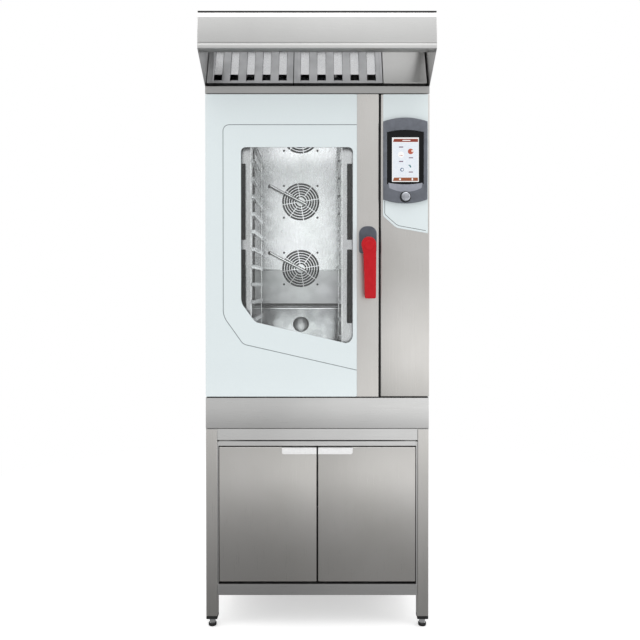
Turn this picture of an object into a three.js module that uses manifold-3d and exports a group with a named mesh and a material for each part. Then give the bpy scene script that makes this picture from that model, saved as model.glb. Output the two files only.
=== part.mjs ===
// Combi steamer oven with a condensation hood on top, on a cabinet stand.
// Millimetres, +Z up. X runs to the right of someone facing the door and -Y towards them.
// The origin is on the floor, under the middle of the outline.
import * as THREE from "three";
import { mergeVertices } from "three/addons/utils/BufferGeometryUtils.js";
import Module from "manifold-3d";

const wasm = await Module();
wasm.setup();

// ---- driving dimensions ----

const WIDTH = 800; // oven, hood and stand
const DEPTH = 1040; // hood front to the end of the drain outlet
const HOOD_OVERHANG = 150; // hood front ahead of the door's outer face
const BODY_DEPTH = 850; // door's outer face to the rear panel
const HALF = WIDTH / 2;
const FRONT = HOOD_OVERHANG - DEPTH / 2; // plane of the door's outer face
const BACK = FRONT + BODY_DEPTH; // plane of the rear panel
const GAP = 0.4; // between pieces that touch
const SHEET = 1.5; // stainless sheet

// stand
const LEG = 40; // square tube
const LEG_WALL = 2;
const LEG_X = HALF - 1 - LEG / 2;
const LEG_Y = [FRONT + 2 + LEG / 2, BACK - 2 - LEG / 2];
const LEG_BOTTOM = 41;
const DECK_TOP = 715;
const APRON_BOTTOM = 675;
const SHELF = [117, 157];
const CABINET_DOOR = [165, 649];
const CABINET_DOOR_EDGE = 352; // outer edge, from the middle
const CABINET_DOOR_THICK = 18;
const CABINET_PIVOT = 5; // in from the door's outer edge and from its face
const CABINET_TOP = 669;

// oven body
const PLINTH = [716, 826];
const BODY = [829, 1908];
const DOOR = [831, 1909];
const DOOR_DEPTH = 54;
const FRAME_Y = FRONT + 61.5; // face frame around the cavity mouth
const STILE_X = [141.6, 219.3];
const COLUMN_X = 226.5; // left edge of the control column

// cavity
const CAVITY_MID = -76;
const CAVITY_X = [-291, 139];
const CAVITY_Z = [985, 1884];
const DOME = [FRONT + 130, 2006]; // front and top of the higher part of the cavity, up inside the hood
const CAVITY_RADIUS = 16;
const CAVITY_FRONT = FRONT + 64;
const CAVITY_BACK = FRONT + 758;
const RAMP_Y = [FRONT + 600, FRONT + 660]; // sump ramp at the back of the floor
const LEDGE_Z = 1120; // floor of the fan chamber
const BAFFLE_Y = FRONT + 660;
const BAFFLE_BOTTOM = 1145;
const DRAIN_RADIUS = 20; // hole in the middle of the ramp
const DRAIN = [CAVITY_MID, (RAMP_Y[0] + RAMP_Y[1]) / 2, (CAVITY_Z[0] + LEDGE_Z) / 2];
const RAMP_RISE = Math.atan2(LEDGE_Z - CAVITY_Z[0], RAMP_Y[1] - RAMP_Y[0]);
const DRAIN_OUT_Z = 930; // drain outlet in the rear panel

// fans
const FAN_X = -78;
const FAN_Z = [1304, 1607, 1910];
const WHEEL_RADIUS = 84;
const GRILLE_RADIUS = 88;
const ELEMENT_X = [FAN_X - 100, FAN_X + 100]; // heating element, either side of the wheels
const ELEMENT_Y = BAFFLE_Y + 38;
const ELEMENT_TOP = 1975;
const RISER_X = FAN_X - 140; // water riser
const BRANCH_RISE = 70; // of each injector branch above its fan's axis
const WATER_INLET_Z = 1680;

// racks
const RAIL_GAP = 307; // clear width between the two racks' rails, for trays 325 wide
const RAIL_PITCH = 65;
const RAIL_COUNT = 12;
const RAIL_LOW = 1030;
const RAIL_DEPTH = [FRONT + 88, FRONT + 590];

// hinge line of the oven door
const HINGE_X = -384;
const HINGE_Y = FRONT + 28;

// handle, selector and supply cable's gland
const HANDLE = [180, 1369];
const SELECTOR = [312, 1542];
const GLAND = [300, 905];

// hood
const HOOD = [1912, 2148];
const HOOD_LIP = 2020;
const HOOD_BAND_TOP = 1938;
const HOOD_CHAMFER = [14, 23]; // depth and height of the slope along the top of the front
const FILTER_TILT = 25;
const FILTER_LENGTH = 196;
const FILTER_FOOT = [FRONT + 15, 1953];
const DUCT = [0, BACK - 140];
const DUCT_RADIUS = 74;
const FLUE = [60, FRONT + 300];
const FLUE_RADIUS = 30;

// ---- finishes ----

const finish = (color, roughness, metalness, extra = {}) =>
  new THREE.MeshStandardMaterial({ color, roughness, metalness, ...extra });
const FINISH = {
  brushed: finish("#b8b9b9", 0.38, 0.95),
  polished: finish("#d5d7d8", 0.14, 1),
  bright: finish("#efefef", 0.25, 0.9),
  printedGlass: finish("#dee5e7", 0.1, 0),
  clearGlass: finish("#cfdcdc", 0.05, 0, { transparent: true, opacity: 0.25 }),
  darkPlastic: finish("#50555f", 0.45, 0),
  bezelGrey: finish("#6c7078", 0.35, 0.3),
  screen: finish("#15171a", 0.08, 0),
  knobSilver: finish("#adb0b8", 0.3, 0.7),
  redPlastic: finish("#c0202a", 0.3, 0),
  blackRubber: finish("#141414", 0.7, 0),
  blackPlastic: finish("#1b1b1c", 0.5, 0),
  board: finish("#1e5b3c", 0.6, 0),
  castAluminium: finish("#9a9da0", 0.5, 0.8),
  zinc: finish("#8d9092", 0.45, 0.9),
};

// ---- solids ----

// A three.js geometry as a manifold solid.
function solid(geometry) {
  const bare = geometry.clone();
  for (const name of Object.keys(bare.attributes))
    if (name !== "position") bare.deleteAttribute(name);
  const merged = mergeVertices(bare, 1e-4);
  return new wasm.Manifold(
    new wasm.Mesh({
      numProp: 3,
      vertProperties: merged.attributes.position.array,
      triVerts: new Uint32Array(merged.index.array),
    }),
  );
}

const join = (...pieces) => pieces.flat().reduce((all, piece) => all.add(piece));
const cut = (piece, ...tools) => tools.flat().reduce((left, tool) => left.subtract(tool), piece);

function block([x0, x1], [y0, y1], [z0, z1]) {
  const box = new THREE.BoxGeometry(x1 - x0, y1 - y0, z1 - z0);
  return solid(box.translate((x0 + x1) / 2, (y0 + y1) / 2, (z0 + z1) / 2));
}

const polygon = (points) => new THREE.Shape(points.map(([a, b]) => new THREE.Vector2(a, b)));

// A rectangle with round corners; radii go anticlockwise from the lower left corner, or one for all.
function rectangle([a0, a1], [b0, b1], radius = 0) {
  const [lowLeft, lowRight, topRight, topLeft] = Array.isArray(radius) ? radius : Array(4).fill(radius);
  const shape = new THREE.Shape().moveTo(a0 + lowLeft, b0).lineTo(a1 - lowRight, b0);
  if (lowRight) shape.absarc(a1 - lowRight, b0 + lowRight, lowRight, -Math.PI / 2, 0);
  shape.lineTo(a1, b1 - topRight);
  if (topRight) shape.absarc(a1 - topRight, b1 - topRight, topRight, 0, Math.PI / 2);
  shape.lineTo(a0 + topLeft, b1);
  if (topLeft) shape.absarc(a0 + topLeft, b1 - topLeft, topLeft, Math.PI / 2, Math.PI);
  shape.lineTo(a0, b0 + lowLeft);
  if (lowLeft) shape.absarc(a0 + lowLeft, b0 + lowLeft, lowLeft, Math.PI, Math.PI * 1.5);
  return shape;
}

function extruded(shape, depth, curveSegments) {
  return new THREE.ExtrudeGeometry(shape, { depth, bevelEnabled: false, curveSegments });
}

// An outline drawn as seen from the front (X, Z), from y0 back to y1.
const frontPlate = (shape, [y0, y1], curveSegments = 4) =>
  solid(extruded(shape, y1 - y0, curveSegments).rotateX(Math.PI / 2).translate(0, y1, 0));

// An outline drawn as seen from above (X, Y), from z0 up to z1.
const floorPlate = (shape, [z0, z1], curveSegments = 4) =>
  solid(extruded(shape, z1 - z0, curveSegments).translate(0, 0, z0));

// An outline drawn from the side (Y, Z), from x0 right to x1.
function sidePlate(shape, [x0, x1], curveSegments = 4) {
  const turn = new THREE.Matrix4().makeBasis(
    new THREE.Vector3(0, 1, 0),
    new THREE.Vector3(0, 0, 1),
    new THREE.Vector3(1, 0, 0),
  );
  return solid(extruded(shape, x1 - x0, curveSegments).applyMatrix4(turn).translate(x0, 0, 0));
}

// A round bar between two points on a line along one axis.
function bar(radius, from, to, sides = 16) {
  const a = new THREE.Vector3(...from);
  const b = new THREE.Vector3(...to);
  const along = b.clone().sub(a);
  const turn = new THREE.Quaternion().setFromUnitVectors(
    new THREE.Vector3(0, 1, 0),
    along.clone().normalize(),
  );
  const cylinder = new THREE.CylinderGeometry(radius, radius, along.length(), sides);
  return solid(cylinder.applyQuaternion(turn).translate(...a.add(b).multiplyScalar(0.5)));
}

// A bent round bar through a list of points.
function bentBar(radius, points, steps, sides = 8, tension = 0.5) {
  const route = points.map((point) => new THREE.Vector3(...point));
  const path = new THREE.CatmullRomCurve3(route, false, "catmullrom", tension);
  const section = new THREE.Shape();
  for (let i = 0; i < sides; i++) {
    const angle = (2 * Math.PI * i) / sides;
    const [a, b] = [radius * Math.cos(angle), radius * Math.sin(angle)];
    if (i) section.lineTo(a, b);
    else section.moveTo(a, b);
  }
  return solid(new THREE.ExtrudeGeometry(section, { steps, bevelEnabled: false, extrudePath: path }));
}

// A piece turned about the Z axis from (radius, height) pairs that start and end on the axis, or close on themselves.
const turned = (profile, segments = 20) =>
  solid(new THREE.LatheGeometry(profile.map(([r, h]) => new THREE.Vector2(r, h)), segments).rotateX(Math.PI / 2));

const oven = new THREE.Group();

// Adds one named mesh made from a solid, at a place in a group.
function add(name, material, shape, place = [0, 0, 0], parent = oven) {
  const made = shape.getMesh();
  const points = new Float32Array(made.numVert * 3);
  for (let i = 0; i < made.numVert; i++)
    points.set(made.vertProperties.subarray(i * made.numProp, i * made.numProp + 3), i * 3);
  const geometry = new THREE.BufferGeometry();
  geometry.setAttribute("position", new THREE.BufferAttribute(points, 3));
  geometry.setIndex(new THREE.BufferAttribute(made.triVerts, 1));
  geometry.computeVertexNormals();
  const mesh = new THREE.Mesh(geometry, material);
  mesh.name = name;
  mesh.position.set(...place);
  parent.add(mesh);
  return mesh;
}

const SIDES = { left: -1, right: 1 };
// An X range at the left or the right: mirrored(-1, 10, 20) is [-20, -10].
const mirrored = (side, near, far) => (side < 0 ? [-far, -near] : [near, far]);

// ---- stand ----

function leg() {
  const half = LEG / 2;
  const hollow = half - LEG_WALL;
  const section = rectangle([-half, half], [-half, half], 3);
  section.holes.push(rectangle([-hollow, hollow], [-hollow, hollow]));
  return floorPlate(section, [0, DECK_TOP - SHEET - GAP - LEG_BOTTOM - GAP], 2);
}

// Black end cap with its plug in the leg, on a threaded stem with a black pad.
function foot() {
  const half = LEG / 2;
  const plug = half - LEG_WALL - GAP;
  const pad = turned([[0, 0], [11.5, 0], [14.5, 3], [14.5, 11], [13, 11], [13, 30], [0, 30]], 12);
  const cap = floorPlate(rectangle([-half, half], [-half, half], 3), [29, LEG_BOTTOM], 2);
  return join(pad, cap, block([-plug, plug], [-plug, plug], [LEG_BOTTOM, LEG_BOTTOM + 20]));
}

// Top sheet over the legs with folded aprons between them.
function standDeck() {
  const inLegs = LEG_X - LEG / 2 - GAP;
  const sheet = [DECK_TOP - SHEET, DECK_TOP];
  const apron = [APRON_BOTTOM, DECK_TOP - SHEET / 2];
  const between = [LEG_Y[0] + LEG / 2 + GAP, LEG_Y[1] - LEG / 2 - GAP];
  const pieces = [block([1 - HALF, HALF - 1], [FRONT + 2, BACK - 2], sheet)];
  for (const face of [[FRONT + 2, FRONT + 3.5], [BACK - 3.5, BACK - 2]])
    pieces.push(block([-inLegs, inLegs], face, apron));
  pieces.push(block([-inLegs, inLegs], [FRONT + 2, FRONT + 14], [APRON_BOTTOM, APRON_BOTTOM + SHEET]));
  for (const side of Object.values(SIDES))
    pieces.push(block(mirrored(side, HALF - 1 - SHEET, HALF - 1), between, apron));
  return join(pieces);
}

// Folded shelf that closes the bottom of the cabinet: a sheet with a lip turned down on each edge.
function bottomShelf() {
  const x = LEG_X - LEG / 2 - GAP;
  const y = [FRONT + 2, BACK - 2];
  const hollow = block([SHEET - x, x - SHEET], [y[0] + SHEET, y[1] - SHEET], [SHELF[0] - 1, SHELF[1] - SHEET]);
  return cut(block([-x, x], y, SHELF), hollow);
}

// Sides, back and top of the cabinet, with a post at each side of the doors.
function cabinetShell() {
  const outer = LEG_X - LEG / 2 - GAP - 0.2;
  const z = [SHELF[1] + GAP, CABINET_TOP];
  const y = [FRONT + 10, BACK - 10];
  const shell = cut(
    block([-outer, outer], y, z),
    block([SHEET - outer, outer - SHEET], [y[0] - 1, y[1] - SHEET], [z[0] - 1, z[1] - SHEET]),
  );
  const lip = block([-outer, outer], [FRONT + 8, FRONT + 12], [653, CABINET_TOP]);
  const posts = Object.values(SIDES).map((side) =>
    block(mirrored(side, CABINET_DOOR_EDGE + 2.6, outer), [FRONT + 4, FRONT + 26], z),
  );
  return join(shell, lip, posts);
}

// Folded door pan, open behind, with its hinge at the origin's X and Y.
function cabinetDoor(side) {
  const x = mirrored(-side, -CABINET_PIVOT, CABINET_DOOR_EDGE - CABINET_PIVOT - 2.8);
  const y = [-CABINET_PIVOT, CABINET_DOOR_THICK - CABINET_PIVOT];
  const z = [0, CABINET_DOOR[1] - CABINET_DOOR[0]];
  const inside = block([x[0] + SHEET, x[1] - SHEET], [y[0] + SHEET, y[1] - SHEET], [SHEET, z[1] - SHEET]);
  const mouth = block([x[0] + 20, x[1] - 20], [y[0] + SHEET, y[1] + 1], [20, z[1] - 20]);
  return cut(block(x, y, z), inside, mouth);
}

// Folded pull at the top of a cabinet door: a finger tab in front, open below. Its corner is rounded.
function doorPull(side) {
  const x = mirrored(side, 3, 126);
  const face = FRONT + 4 - GAP;
  const top = CABINET_DOOR[1];
  const radius = side < 0 ? [8, 0, 0, 0] : [0, 8, 0, 0];
  return join(
    frontPlate(rectangle(x, [628, top], radius), [FRONT - 14, FRONT - 12.5]),
    block(x, [FRONT - 14, face], [top - SHEET, top]),
    block(x, [face - SHEET, face], [628, top]),
  );
}

for (const [sideName, side] of Object.entries(SIDES)) {
  for (const [end, y] of [["front", LEG_Y[0]], ["rear", LEG_Y[1]]]) {
    add(`leg_${end}_${sideName}`, FINISH.brushed, leg(), [side * LEG_X, y, LEG_BOTTOM + GAP]);
    add(`foot_${end}_${sideName}`, FINISH.blackPlastic, foot(), [side * LEG_X, y, 0]);
  }
  const pivot = [side * (CABINET_DOOR_EDGE - CABINET_PIVOT), FRONT + 4 + CABINET_PIVOT, CABINET_DOOR[0]];
  add(`cabinet_door_${sideName}`, FINISH.brushed, cabinetDoor(side), pivot);
  add(`door_pull_${sideName}`, FINISH.bright, doorPull(side));
}
add("stand_deck", FINISH.brushed, standDeck());
add("bottom_shelf", FINISH.brushed, bottomShelf());
add("cabinet_shell", FINISH.brushed, cabinetShell());

// ---- oven body ----

// Open tray under the oven, with its front as the visible plinth.
function plinth() {
  const x = HALF - 0.3;
  const y = [FRONT + 2, BACK - 2];
  const hollow = block([SHEET - x, x - SHEET], [y[0] + SHEET, y[1] - SHEET], [PLINTH[0] + SHEET, PLINTH[1] + 1]);
  return cut(block([-x, x], y, PLINTH), hollow);
}

// Side sheet with a flange turned in at the front and a flange along the bottom.
function sidePanel(side) {
  const sheet = block(mirrored(side, HALF - SHEET, HALF), [FRAME_Y, BACK], BODY);
  const flange = block(mirrored(side, HALF - 15, HALF), [FRAME_Y, FRAME_Y + SHEET], BODY);
  return join(sheet, flange);
}

// Face frame around the cavity mouth, with the keeper hole that the latch turns in.
function frontFrame() {
  const sheet = rectangle([15.4 - HALF, HALF - 15.4], [BODY[0], BODY[1] - 2]);
  sheet.holes.push(rectangle(CAVITY_X, CAVITY_Z, CAVITY_RADIUS));
  const keeper = new THREE.Path().absarc(...HANDLE, 30, 0, 2 * Math.PI);
  sheet.holes.push(keeper);
  return frontPlate(sheet, [FRAME_Y, FRAME_Y + SHEET]);
}

// The inside of the cavity, grown by a sheet's thickness: as high as its mouth in front and higher behind, with
// round long edges, a ramp at the back of the floor and a fan chamber behind it.
function cavityShape(grow, front) {
  const x = [CAVITY_X[0] - grow, CAVITY_X[1] + grow];
  const floor = CAVITY_Z[0] - grow;
  const back = CAVITY_BACK + grow;
  const part = (start, top) => {
    const side = polygon([
      [start, floor],
      [RAMP_Y[0], floor],
      [RAMP_Y[1], LEDGE_Z - grow],
      [back, LEDGE_Z - grow],
      [back, top],
      [start, top],
    ]);
    const long = frontPlate(rectangle(x, [floor, top], CAVITY_RADIUS + grow), [start, back], 2);
    return sidePlate(side, x).intersect(long);
  };
  return join(part(front, CAVITY_Z[1] + grow), part(DOME[0] - grow, DOME[1] + grow));
}

// The point at a distance below the sump ramp, square to it, under the middle of the drain.
const belowRamp = (distance) => [
  DRAIN[0],
  DRAIN[1] + distance * Math.sin(RAMP_RISE),
  DRAIN[2] - distance * Math.cos(RAMP_RISE),
];

function cavityLiner() {
  const shell = cut(cavityShape(SHEET, CAVITY_FRONT), cavityShape(0, CAVITY_FRONT - 1));
  const behind = [CAVITY_BACK - 5, CAVITY_BACK + 5];
  const holes = FAN_Z.map((z) => bar(12, [FAN_X, behind[0], z], [FAN_X, behind[1], z], 12));
  for (const x of ELEMENT_X) holes.push(bar(8, [x, behind[0], ELEMENT_TOP], [x, behind[1], ELEMENT_TOP], 8));
  holes.push(bar(FLUE_RADIUS + 1.5, [...FLUE, DOME[1] - 5], [...FLUE, DOME[1] + 5], 20));
  holes.push(bar(10, [RISER_X, behind[0], WATER_INLET_Z], [RISER_X, behind[1], WATER_INLET_Z], 8));
  holes.push(bar(DRAIN_RADIUS, belowRamp(-10), belowRamp(10), 16));
  return cut(shell, holes);
}

// The opening around the cavity's higher part and the top fan's motor.
const domeOpening = () => rectangle([CAVITY_X[0] - 4, CAVITY_X[1] + 4], [DOME[0] - 4, BACK - 14]);

function topPanel() {
  const sheet = rectangle([2 - HALF, HALF - 2], [FRAME_Y + 4, BACK - 2]);
  sheet.holes.push(domeOpening());
  return floorPlate(sheet, [BODY[1] - SHEET, BODY[1]]);
}

function rearPanel() {
  const sheet = rectangle([2 - HALF, HALF - 2], [BODY[0], BODY[1] - 2]);
  sheet.holes.push(new THREE.Path().absarc(CAVITY_MID, DRAIN_OUT_Z, 27, 0, 2 * Math.PI));
  sheet.holes.push(new THREE.Path().absarc(...GLAND, 11, 0, 2 * Math.PI));
  for (let row = 0; row < 6; row++)
    sheet.holes.push(rectangle([240, 340], [1500 + row * 22, 1508 + row * 22]));
  return frontPlate(sheet, [BACK - SHEET, BACK]);
}

add("oven_plinth", FINISH.brushed, plinth());
add("side_panel_left", FINISH.brushed, sidePanel(-1));
add("side_panel_right", FINISH.brushed, sidePanel(1));
add("front_frame", FINISH.brushed, frontFrame());
add("cavity_liner", FINISH.polished, cavityLiner());
add("top_panel", FINISH.brushed, topPanel());
add("rear_panel", FINISH.brushed, rearPanel());

// ---- inside the cavity ----

// One ring of slots about the origin, split by equal spokes.
function slotRing(inner, outer, spokes, spokeWidth) {
  return Array.from({ length: spokes }, (_, i) => {
    const edge = (radius) => Math.asin(spokeWidth / 2 / radius);
    const [from, to] = [(2 * Math.PI * i) / spokes, (2 * Math.PI * (i + 1)) / spokes];
    return new THREE.Path()
      .absarc(0, 0, outer, from + edge(outer), to - edge(outer))
      .absarc(0, 0, inner, to - edge(inner), from + edge(inner), true);
  });
}

// Sheet in front of the fans, with a slotted inlet at each fan and folded edges.
function fanBaffle() {
  const x = [CAVITY_X[0] + 3, CAVITY_X[1] - 3];
  const z = [BAFFLE_BOTTOM, DOME[1] - 8];
  const sheet = block(x, [BAFFLE_Y, BAFFLE_Y + SHEET], z);
  const folds = x.map((edge, i) =>
    block(i ? [edge - SHEET, edge] : [edge, edge + SHEET], [BAFFLE_Y, BAFFLE_Y + 14], z),
  );
  const rings = [[30, 52], [62, GRILLE_RADIUS - 4]];
  const tools = FAN_Z.flatMap((fan) =>
    rings.flatMap(([inner, outer]) =>
      slotRing(inner, outer, 4, 6).map((slot) =>
        frontPlate(new THREE.Shape(slot.getPoints(3)), [BAFFLE_Y - 1, BAFFLE_Y + 3]).translate([FAN_X, 0, fan]),
      ),
    ),
  );
  const branches = FAN_Z.map((fan) =>
    bar(9, [RISER_X, BAFFLE_Y - 2, fan + BRANCH_RISE], [RISER_X, BAFFLE_Y + 4, fan + BRANCH_RISE], 12),
  );
  return cut(join(sheet, folds), tools, branches);
}

// Riser behind the baffle, with a branch through it to the middle of each fan's inlet.
function waterManifold() {
  const riserY = BAFFLE_Y + 50;
  const riser = bar(8, [RISER_X, riserY, FAN_Z[0] + BRANCH_RISE - 20], [RISER_X, riserY, ELEMENT_TOP + 12], 10);
  const inlet = bar(7, [RISER_X, riserY, WATER_INLET_Z], [RISER_X, BACK - 30, WATER_INLET_Z], 10);
  const branches = FAN_Z.map((fan) => {
    const z = fan + BRANCH_RISE;
    const reach = FAN_X + 26 - RISER_X;
    const along = (part) => [RISER_X + reach * part, BAFFLE_Y - 17, z - (BRANCH_RISE + 14) * part];
    const route = [[RISER_X, riserY, z], [RISER_X, BAFFLE_Y + 20, z], [RISER_X, BAFFLE_Y - 4, z]];
    return bentBar(6.5, [...route, along(0.1), along(0.35), along(0.7), along(1)], 18);
  });
  return join(riser, inlet, branches);
}

// Sheathed element: down the left of the fans, under them, up the right, and back the same way behind.
function heatingElement() {
  const [left, right] = ELEMENT_X;
  const radius = (right - left) / 2;
  const tail = CAVITY_BACK + 16;
  const under = (angle, y) => [
    FAN_X - radius * Math.cos(angle),
    y,
    FAN_Z[0] - radius * Math.sin(angle),
  ];
  const sweep = [0, 1, 2, 3, 4, 5, 6].map((step) => (Math.PI * step) / 6);
  const route = [
    [left, tail, ELEMENT_TOP],
    [left, ELEMENT_Y + 20, ELEMENT_TOP],
    [left, ELEMENT_Y, ELEMENT_TOP - 24],
    [left, ELEMENT_Y, 1640],
    [left, ELEMENT_Y, 1440],
    ...sweep.map((angle) => under(angle, ELEMENT_Y)),
    [right, ELEMENT_Y, 1440],
    [right, ELEMENT_Y, 1640],
    [right, ELEMENT_Y, ELEMENT_TOP - 24],
    [right, ELEMENT_Y + 20, ELEMENT_TOP],
    [right, tail, ELEMENT_TOP],
  ];
  return bentBar(4.5, route, 70);
}

// Centrifugal wheel on its shaft, about its own centre, with the shaft running back.
function fanWheel() {
  const blades = 9;
  const [near, far] = [14, 58]; // blades, behind the front ring
  const plate = turned(
    [[0, 40], [14, 40], [14, far], [WHEEL_RADIUS, far], [WHEEL_RADIUS, far + 2], [7, far + 2], [7, 84], [0, 84]],
    16,
  );
  const ring = turned([[60, near - 2], [WHEEL_RADIUS, near - 2], [WHEEL_RADIUS, near], [60, near], [60, near - 2]], 16);
  const blade = block([52, WHEEL_RADIUS - 4], [-1, 1], [near - 1, far + 1]);
  const all = Array.from({ length: blades }, (_, i) => blade.rotate([0, 0, (360 / blades) * i]));
  return join(plate, ring, all).rotate([-90, 0, 0]);
}

// Flanged motor behind the cavity wall, about its own axis.
const fanMotor = () =>
  turned([[0, 0], [62, 0], [62, 4], [50, 4], [50, 62], [40, 68], [0, 68]], 14).rotate([-90, 0, 0]);

// Side rack: C-shaped rails that open to the middle, between a front and a rear upright.
function sideRack(side) {
  const lip = RAIL_GAP / 2;
  const rails = [];
  for (let level = 0; level < RAIL_COUNT; level++) {
    const z = RAIL_LOW + level * RAIL_PITCH;
    const back = mirrored(side, lip + 12.5, lip + 14);
    rails.push(block(back, RAIL_DEPTH, [z, z + 14]));
    for (const flange of [[z, z + SHEET], [z + 14 - SHEET, z + 14]])
      rails.push(block(mirrored(side, lip, lip + 13), RAIL_DEPTH, flange));
  }
  const z = [RAIL_LOW - 20, RAIL_LOW + (RAIL_COUNT - 1) * RAIL_PITCH + 40];
  const uprights = [RAIL_DEPTH[0] + 30, RAIL_DEPTH[1] - 40].map((y) =>
    block(mirrored(side, lip + 13.5, lip + 19), [y - 8, y + 8], z),
  );
  return join(uprights, rails);
}

// Slotted cap over the drain, on its own axis.
function drainStrainer() {
  const cap = turned([[0, -8], [14, -8], [14, GAP], [36, GAP], [36, 3], [28, 8], [12, 11], [0, 11]], 16);
  const slot = block([12, 40], [-2, 2], [4, 9]);
  const slots = Array.from({ length: 8 }, (_, i) => slot.rotate([0, 0, 45 * i]));
  return cut(cap, slots);
}

add("fan_baffle", FINISH.polished, fanBaffle());
add("water_manifold", FINISH.polished, waterManifold());
add("heating_element", FINISH.zinc, heatingElement());
FAN_Z.forEach((z, i) => {
  add(`fan_wheel_${i + 1}`, FINISH.polished, fanWheel(), [FAN_X, BAFFLE_Y + 16, z]);
  add(`fan_motor_${i + 1}`, FINISH.castAluminium, fanMotor(), [FAN_X, CAVITY_BACK + 5, z]);
});
for (const [sideName, side] of Object.entries(SIDES))
  add(`rack_${sideName}`, FINISH.polished, sideRack(side), [CAVITY_MID - 2, 0, 0]);
const strainer = add("drain_strainer", FINISH.polished, drainStrainer(), DRAIN);
strainer.rotation.x = RAMP_RISE;

// ---- oven door ----

const WINDOW_X = [-241, 90]; // opening in the door's inner frame
const WINDOW_Z = [1000, 1740];
const DOOR_X = [1.5 - HALF, STILE_X[1] - 2];

// Perimeter wall with a slotted window frame inside it, a back rim, and slots that let cooling air through.
function doorFrame() {
  const y = [FRONT + 6 + GAP, FRONT + DOOR_DEPTH];
  const z = [DOOR[0] + 2, DOOR[1] - 2];
  const wall = cut(
    block(DOOR_X, y, z),
    block([DOOR_X[0] + SHEET, DOOR_X[1] - SHEET], [y[0] - 1, y[1] + 1], [z[0] + SHEET, z[1] - SHEET]),
  );
  const windowFrame = rectangle([DOOR_X[0] + 1, DOOR_X[1] - 1], [z[0] + 1, z[1] - 1]);
  windowFrame.holes.push(rectangle(WINDOW_X, WINDOW_Z));
  const slotRows = [[1393, 1667], [1092, 1358]];
  for (const x of [[-272, -256], [106, 124]])
    for (const row of slotRows) windowFrame.holes.push(rectangle(x, row));
  windowFrame.holes.push(new THREE.Path().absarc(...HANDLE, 9, 0, 2 * Math.PI));
  const rim = rectangle([DOOR_X[0] + 1, DOOR_X[1] - 1], [z[0] + 1, z[1] - 1]);
  rim.holes.push(rectangle([-283, 131], [975, 1894]));
  rim.holes.push(new THREE.Path().absarc(...HANDLE, 9, 0, 2 * Math.PI));
  const pins = [z[0] - 5, z[1] - 5].map((low) => bar(7, [HINGE_X, HINGE_Y, low], [HINGE_X, HINGE_Y, low + 10]));
  const vents = z.map((edge) => block(WINDOW_X, [FRONT + 9, FRONT + 27], [edge - 3, edge + 3]));
  return cut(
    join(
      wall,
      frontPlate(windowFrame, [FRONT + 30, FRONT + 30 + SHEET]),
      frontPlate(rim, [y[1] - SHEET, y[1]]),
    ),
    pins,
    vents,
    block([HINGE_X - 12, HINGE_X + 12], [HINGE_Y - 12, HINGE_Y + 12], [z[1] - 30, z[1] - SHEET - 0.1]),
    block([HINGE_X - 12, HINGE_X + 12], [HINGE_Y - 12, HINGE_Y + 12], [z[0] + SHEET + 0.1, z[0] + 30]),
  );
}

// Stainless stile beside the glass, folded back along the door's free edge.
function handleStile() {
  const face = rectangle(STILE_X, DOOR);
  face.holes.push(new THREE.Path().absarc(...HANDLE, 9, 0, 2 * Math.PI));
  const edge = block([STILE_X[1] - SHEET, STILE_X[1]], [FRONT, FRONT + DOOR_DEPTH - 2], DOOR);
  return join(frontPlate(face, [FRONT, FRONT + SHEET]), edge);
}

function handleRosette() {
  const [x, z] = HANDLE;
  const face = rectangle([x - 31, x + 31], [z - 26, z + 70], [9, 9, 26, 26]);
  face.holes.push(new THREE.Path().absarc(x, z, 9, 0, 2 * Math.PI));
  return frontPlate(face, [FRONT - 12, FRONT - GAP]);
}

// Lever with a round hub, hanging from its spindle; drawn about the spindle's axis.
function handleLever() {
  const hub = 26;
  const arm = new THREE.Shape()
    .moveTo(-14, -180)
    .absarc(-8, -180, 6, Math.PI, Math.PI * 1.5)
    .absarc(19, -180, 6, -Math.PI / 2, 0)
    .lineTo(hub, 0)
    .absarc(0, 4, hub, 0, Math.PI)
    .lineTo(-hub, 0)
    .lineTo(5 - hub, -28);
  return join(
    frontPlate(arm, [-62, -42], 6),
    bar(22, [0, -50, 0], [0, -12 - GAP, 0], 20),
  );
}

// Spindle through the door with a latch tongue at its inner end, about the spindle's axis.
function latchHook() {
  return join(
    bar(7, [0, -12, 0], [0, DOOR_DEPTH + 4, 0], 12),
    block([-7, 7], [DOOR_DEPTH + 2, DOOR_DEPTH + 12], [-24, 12]),
    block([-7, 12], [DOOR_DEPTH + 7, DOOR_DEPTH + 12], [-24, -12]),
  );
}

// Hinge bracket on the face frame with the pin that the door turns on.
function doorHinge(up) {
  const edge = up ? DOOR[1] - 2 : DOOR[0] + 2;
  const plate = up ? [edge + 1, edge + 4] : [edge - 4, edge - 1];
  const pin = up ? [edge - 12, edge + 2] : [edge - 2, edge + 12];
  return join(
    block([HINGE_X - 14, HINGE_X + 22], [HINGE_Y - 12, FRAME_Y - GAP], plate),
    bar(5.5, [HINGE_X, HINGE_Y, pin[0]], [HINGE_X, HINGE_Y, pin[1]], 12),
  );
}

function doorGasket() {
  const outer = rectangle([CAVITY_X[0] - 14, CAVITY_X[1] + 14], [CAVITY_Z[0] - 14, CAVITY_Z[1] + 14], 26);
  outer.holes.push(rectangle([CAVITY_X[0] - 5, CAVITY_X[1] + 5], [CAVITY_Z[0] - 5, CAVITY_Z[1] + 5], 18));
  return frontPlate(outer, [FRONT + DOOR_DEPTH + GAP, FRAME_Y - GAP]);
}

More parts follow.
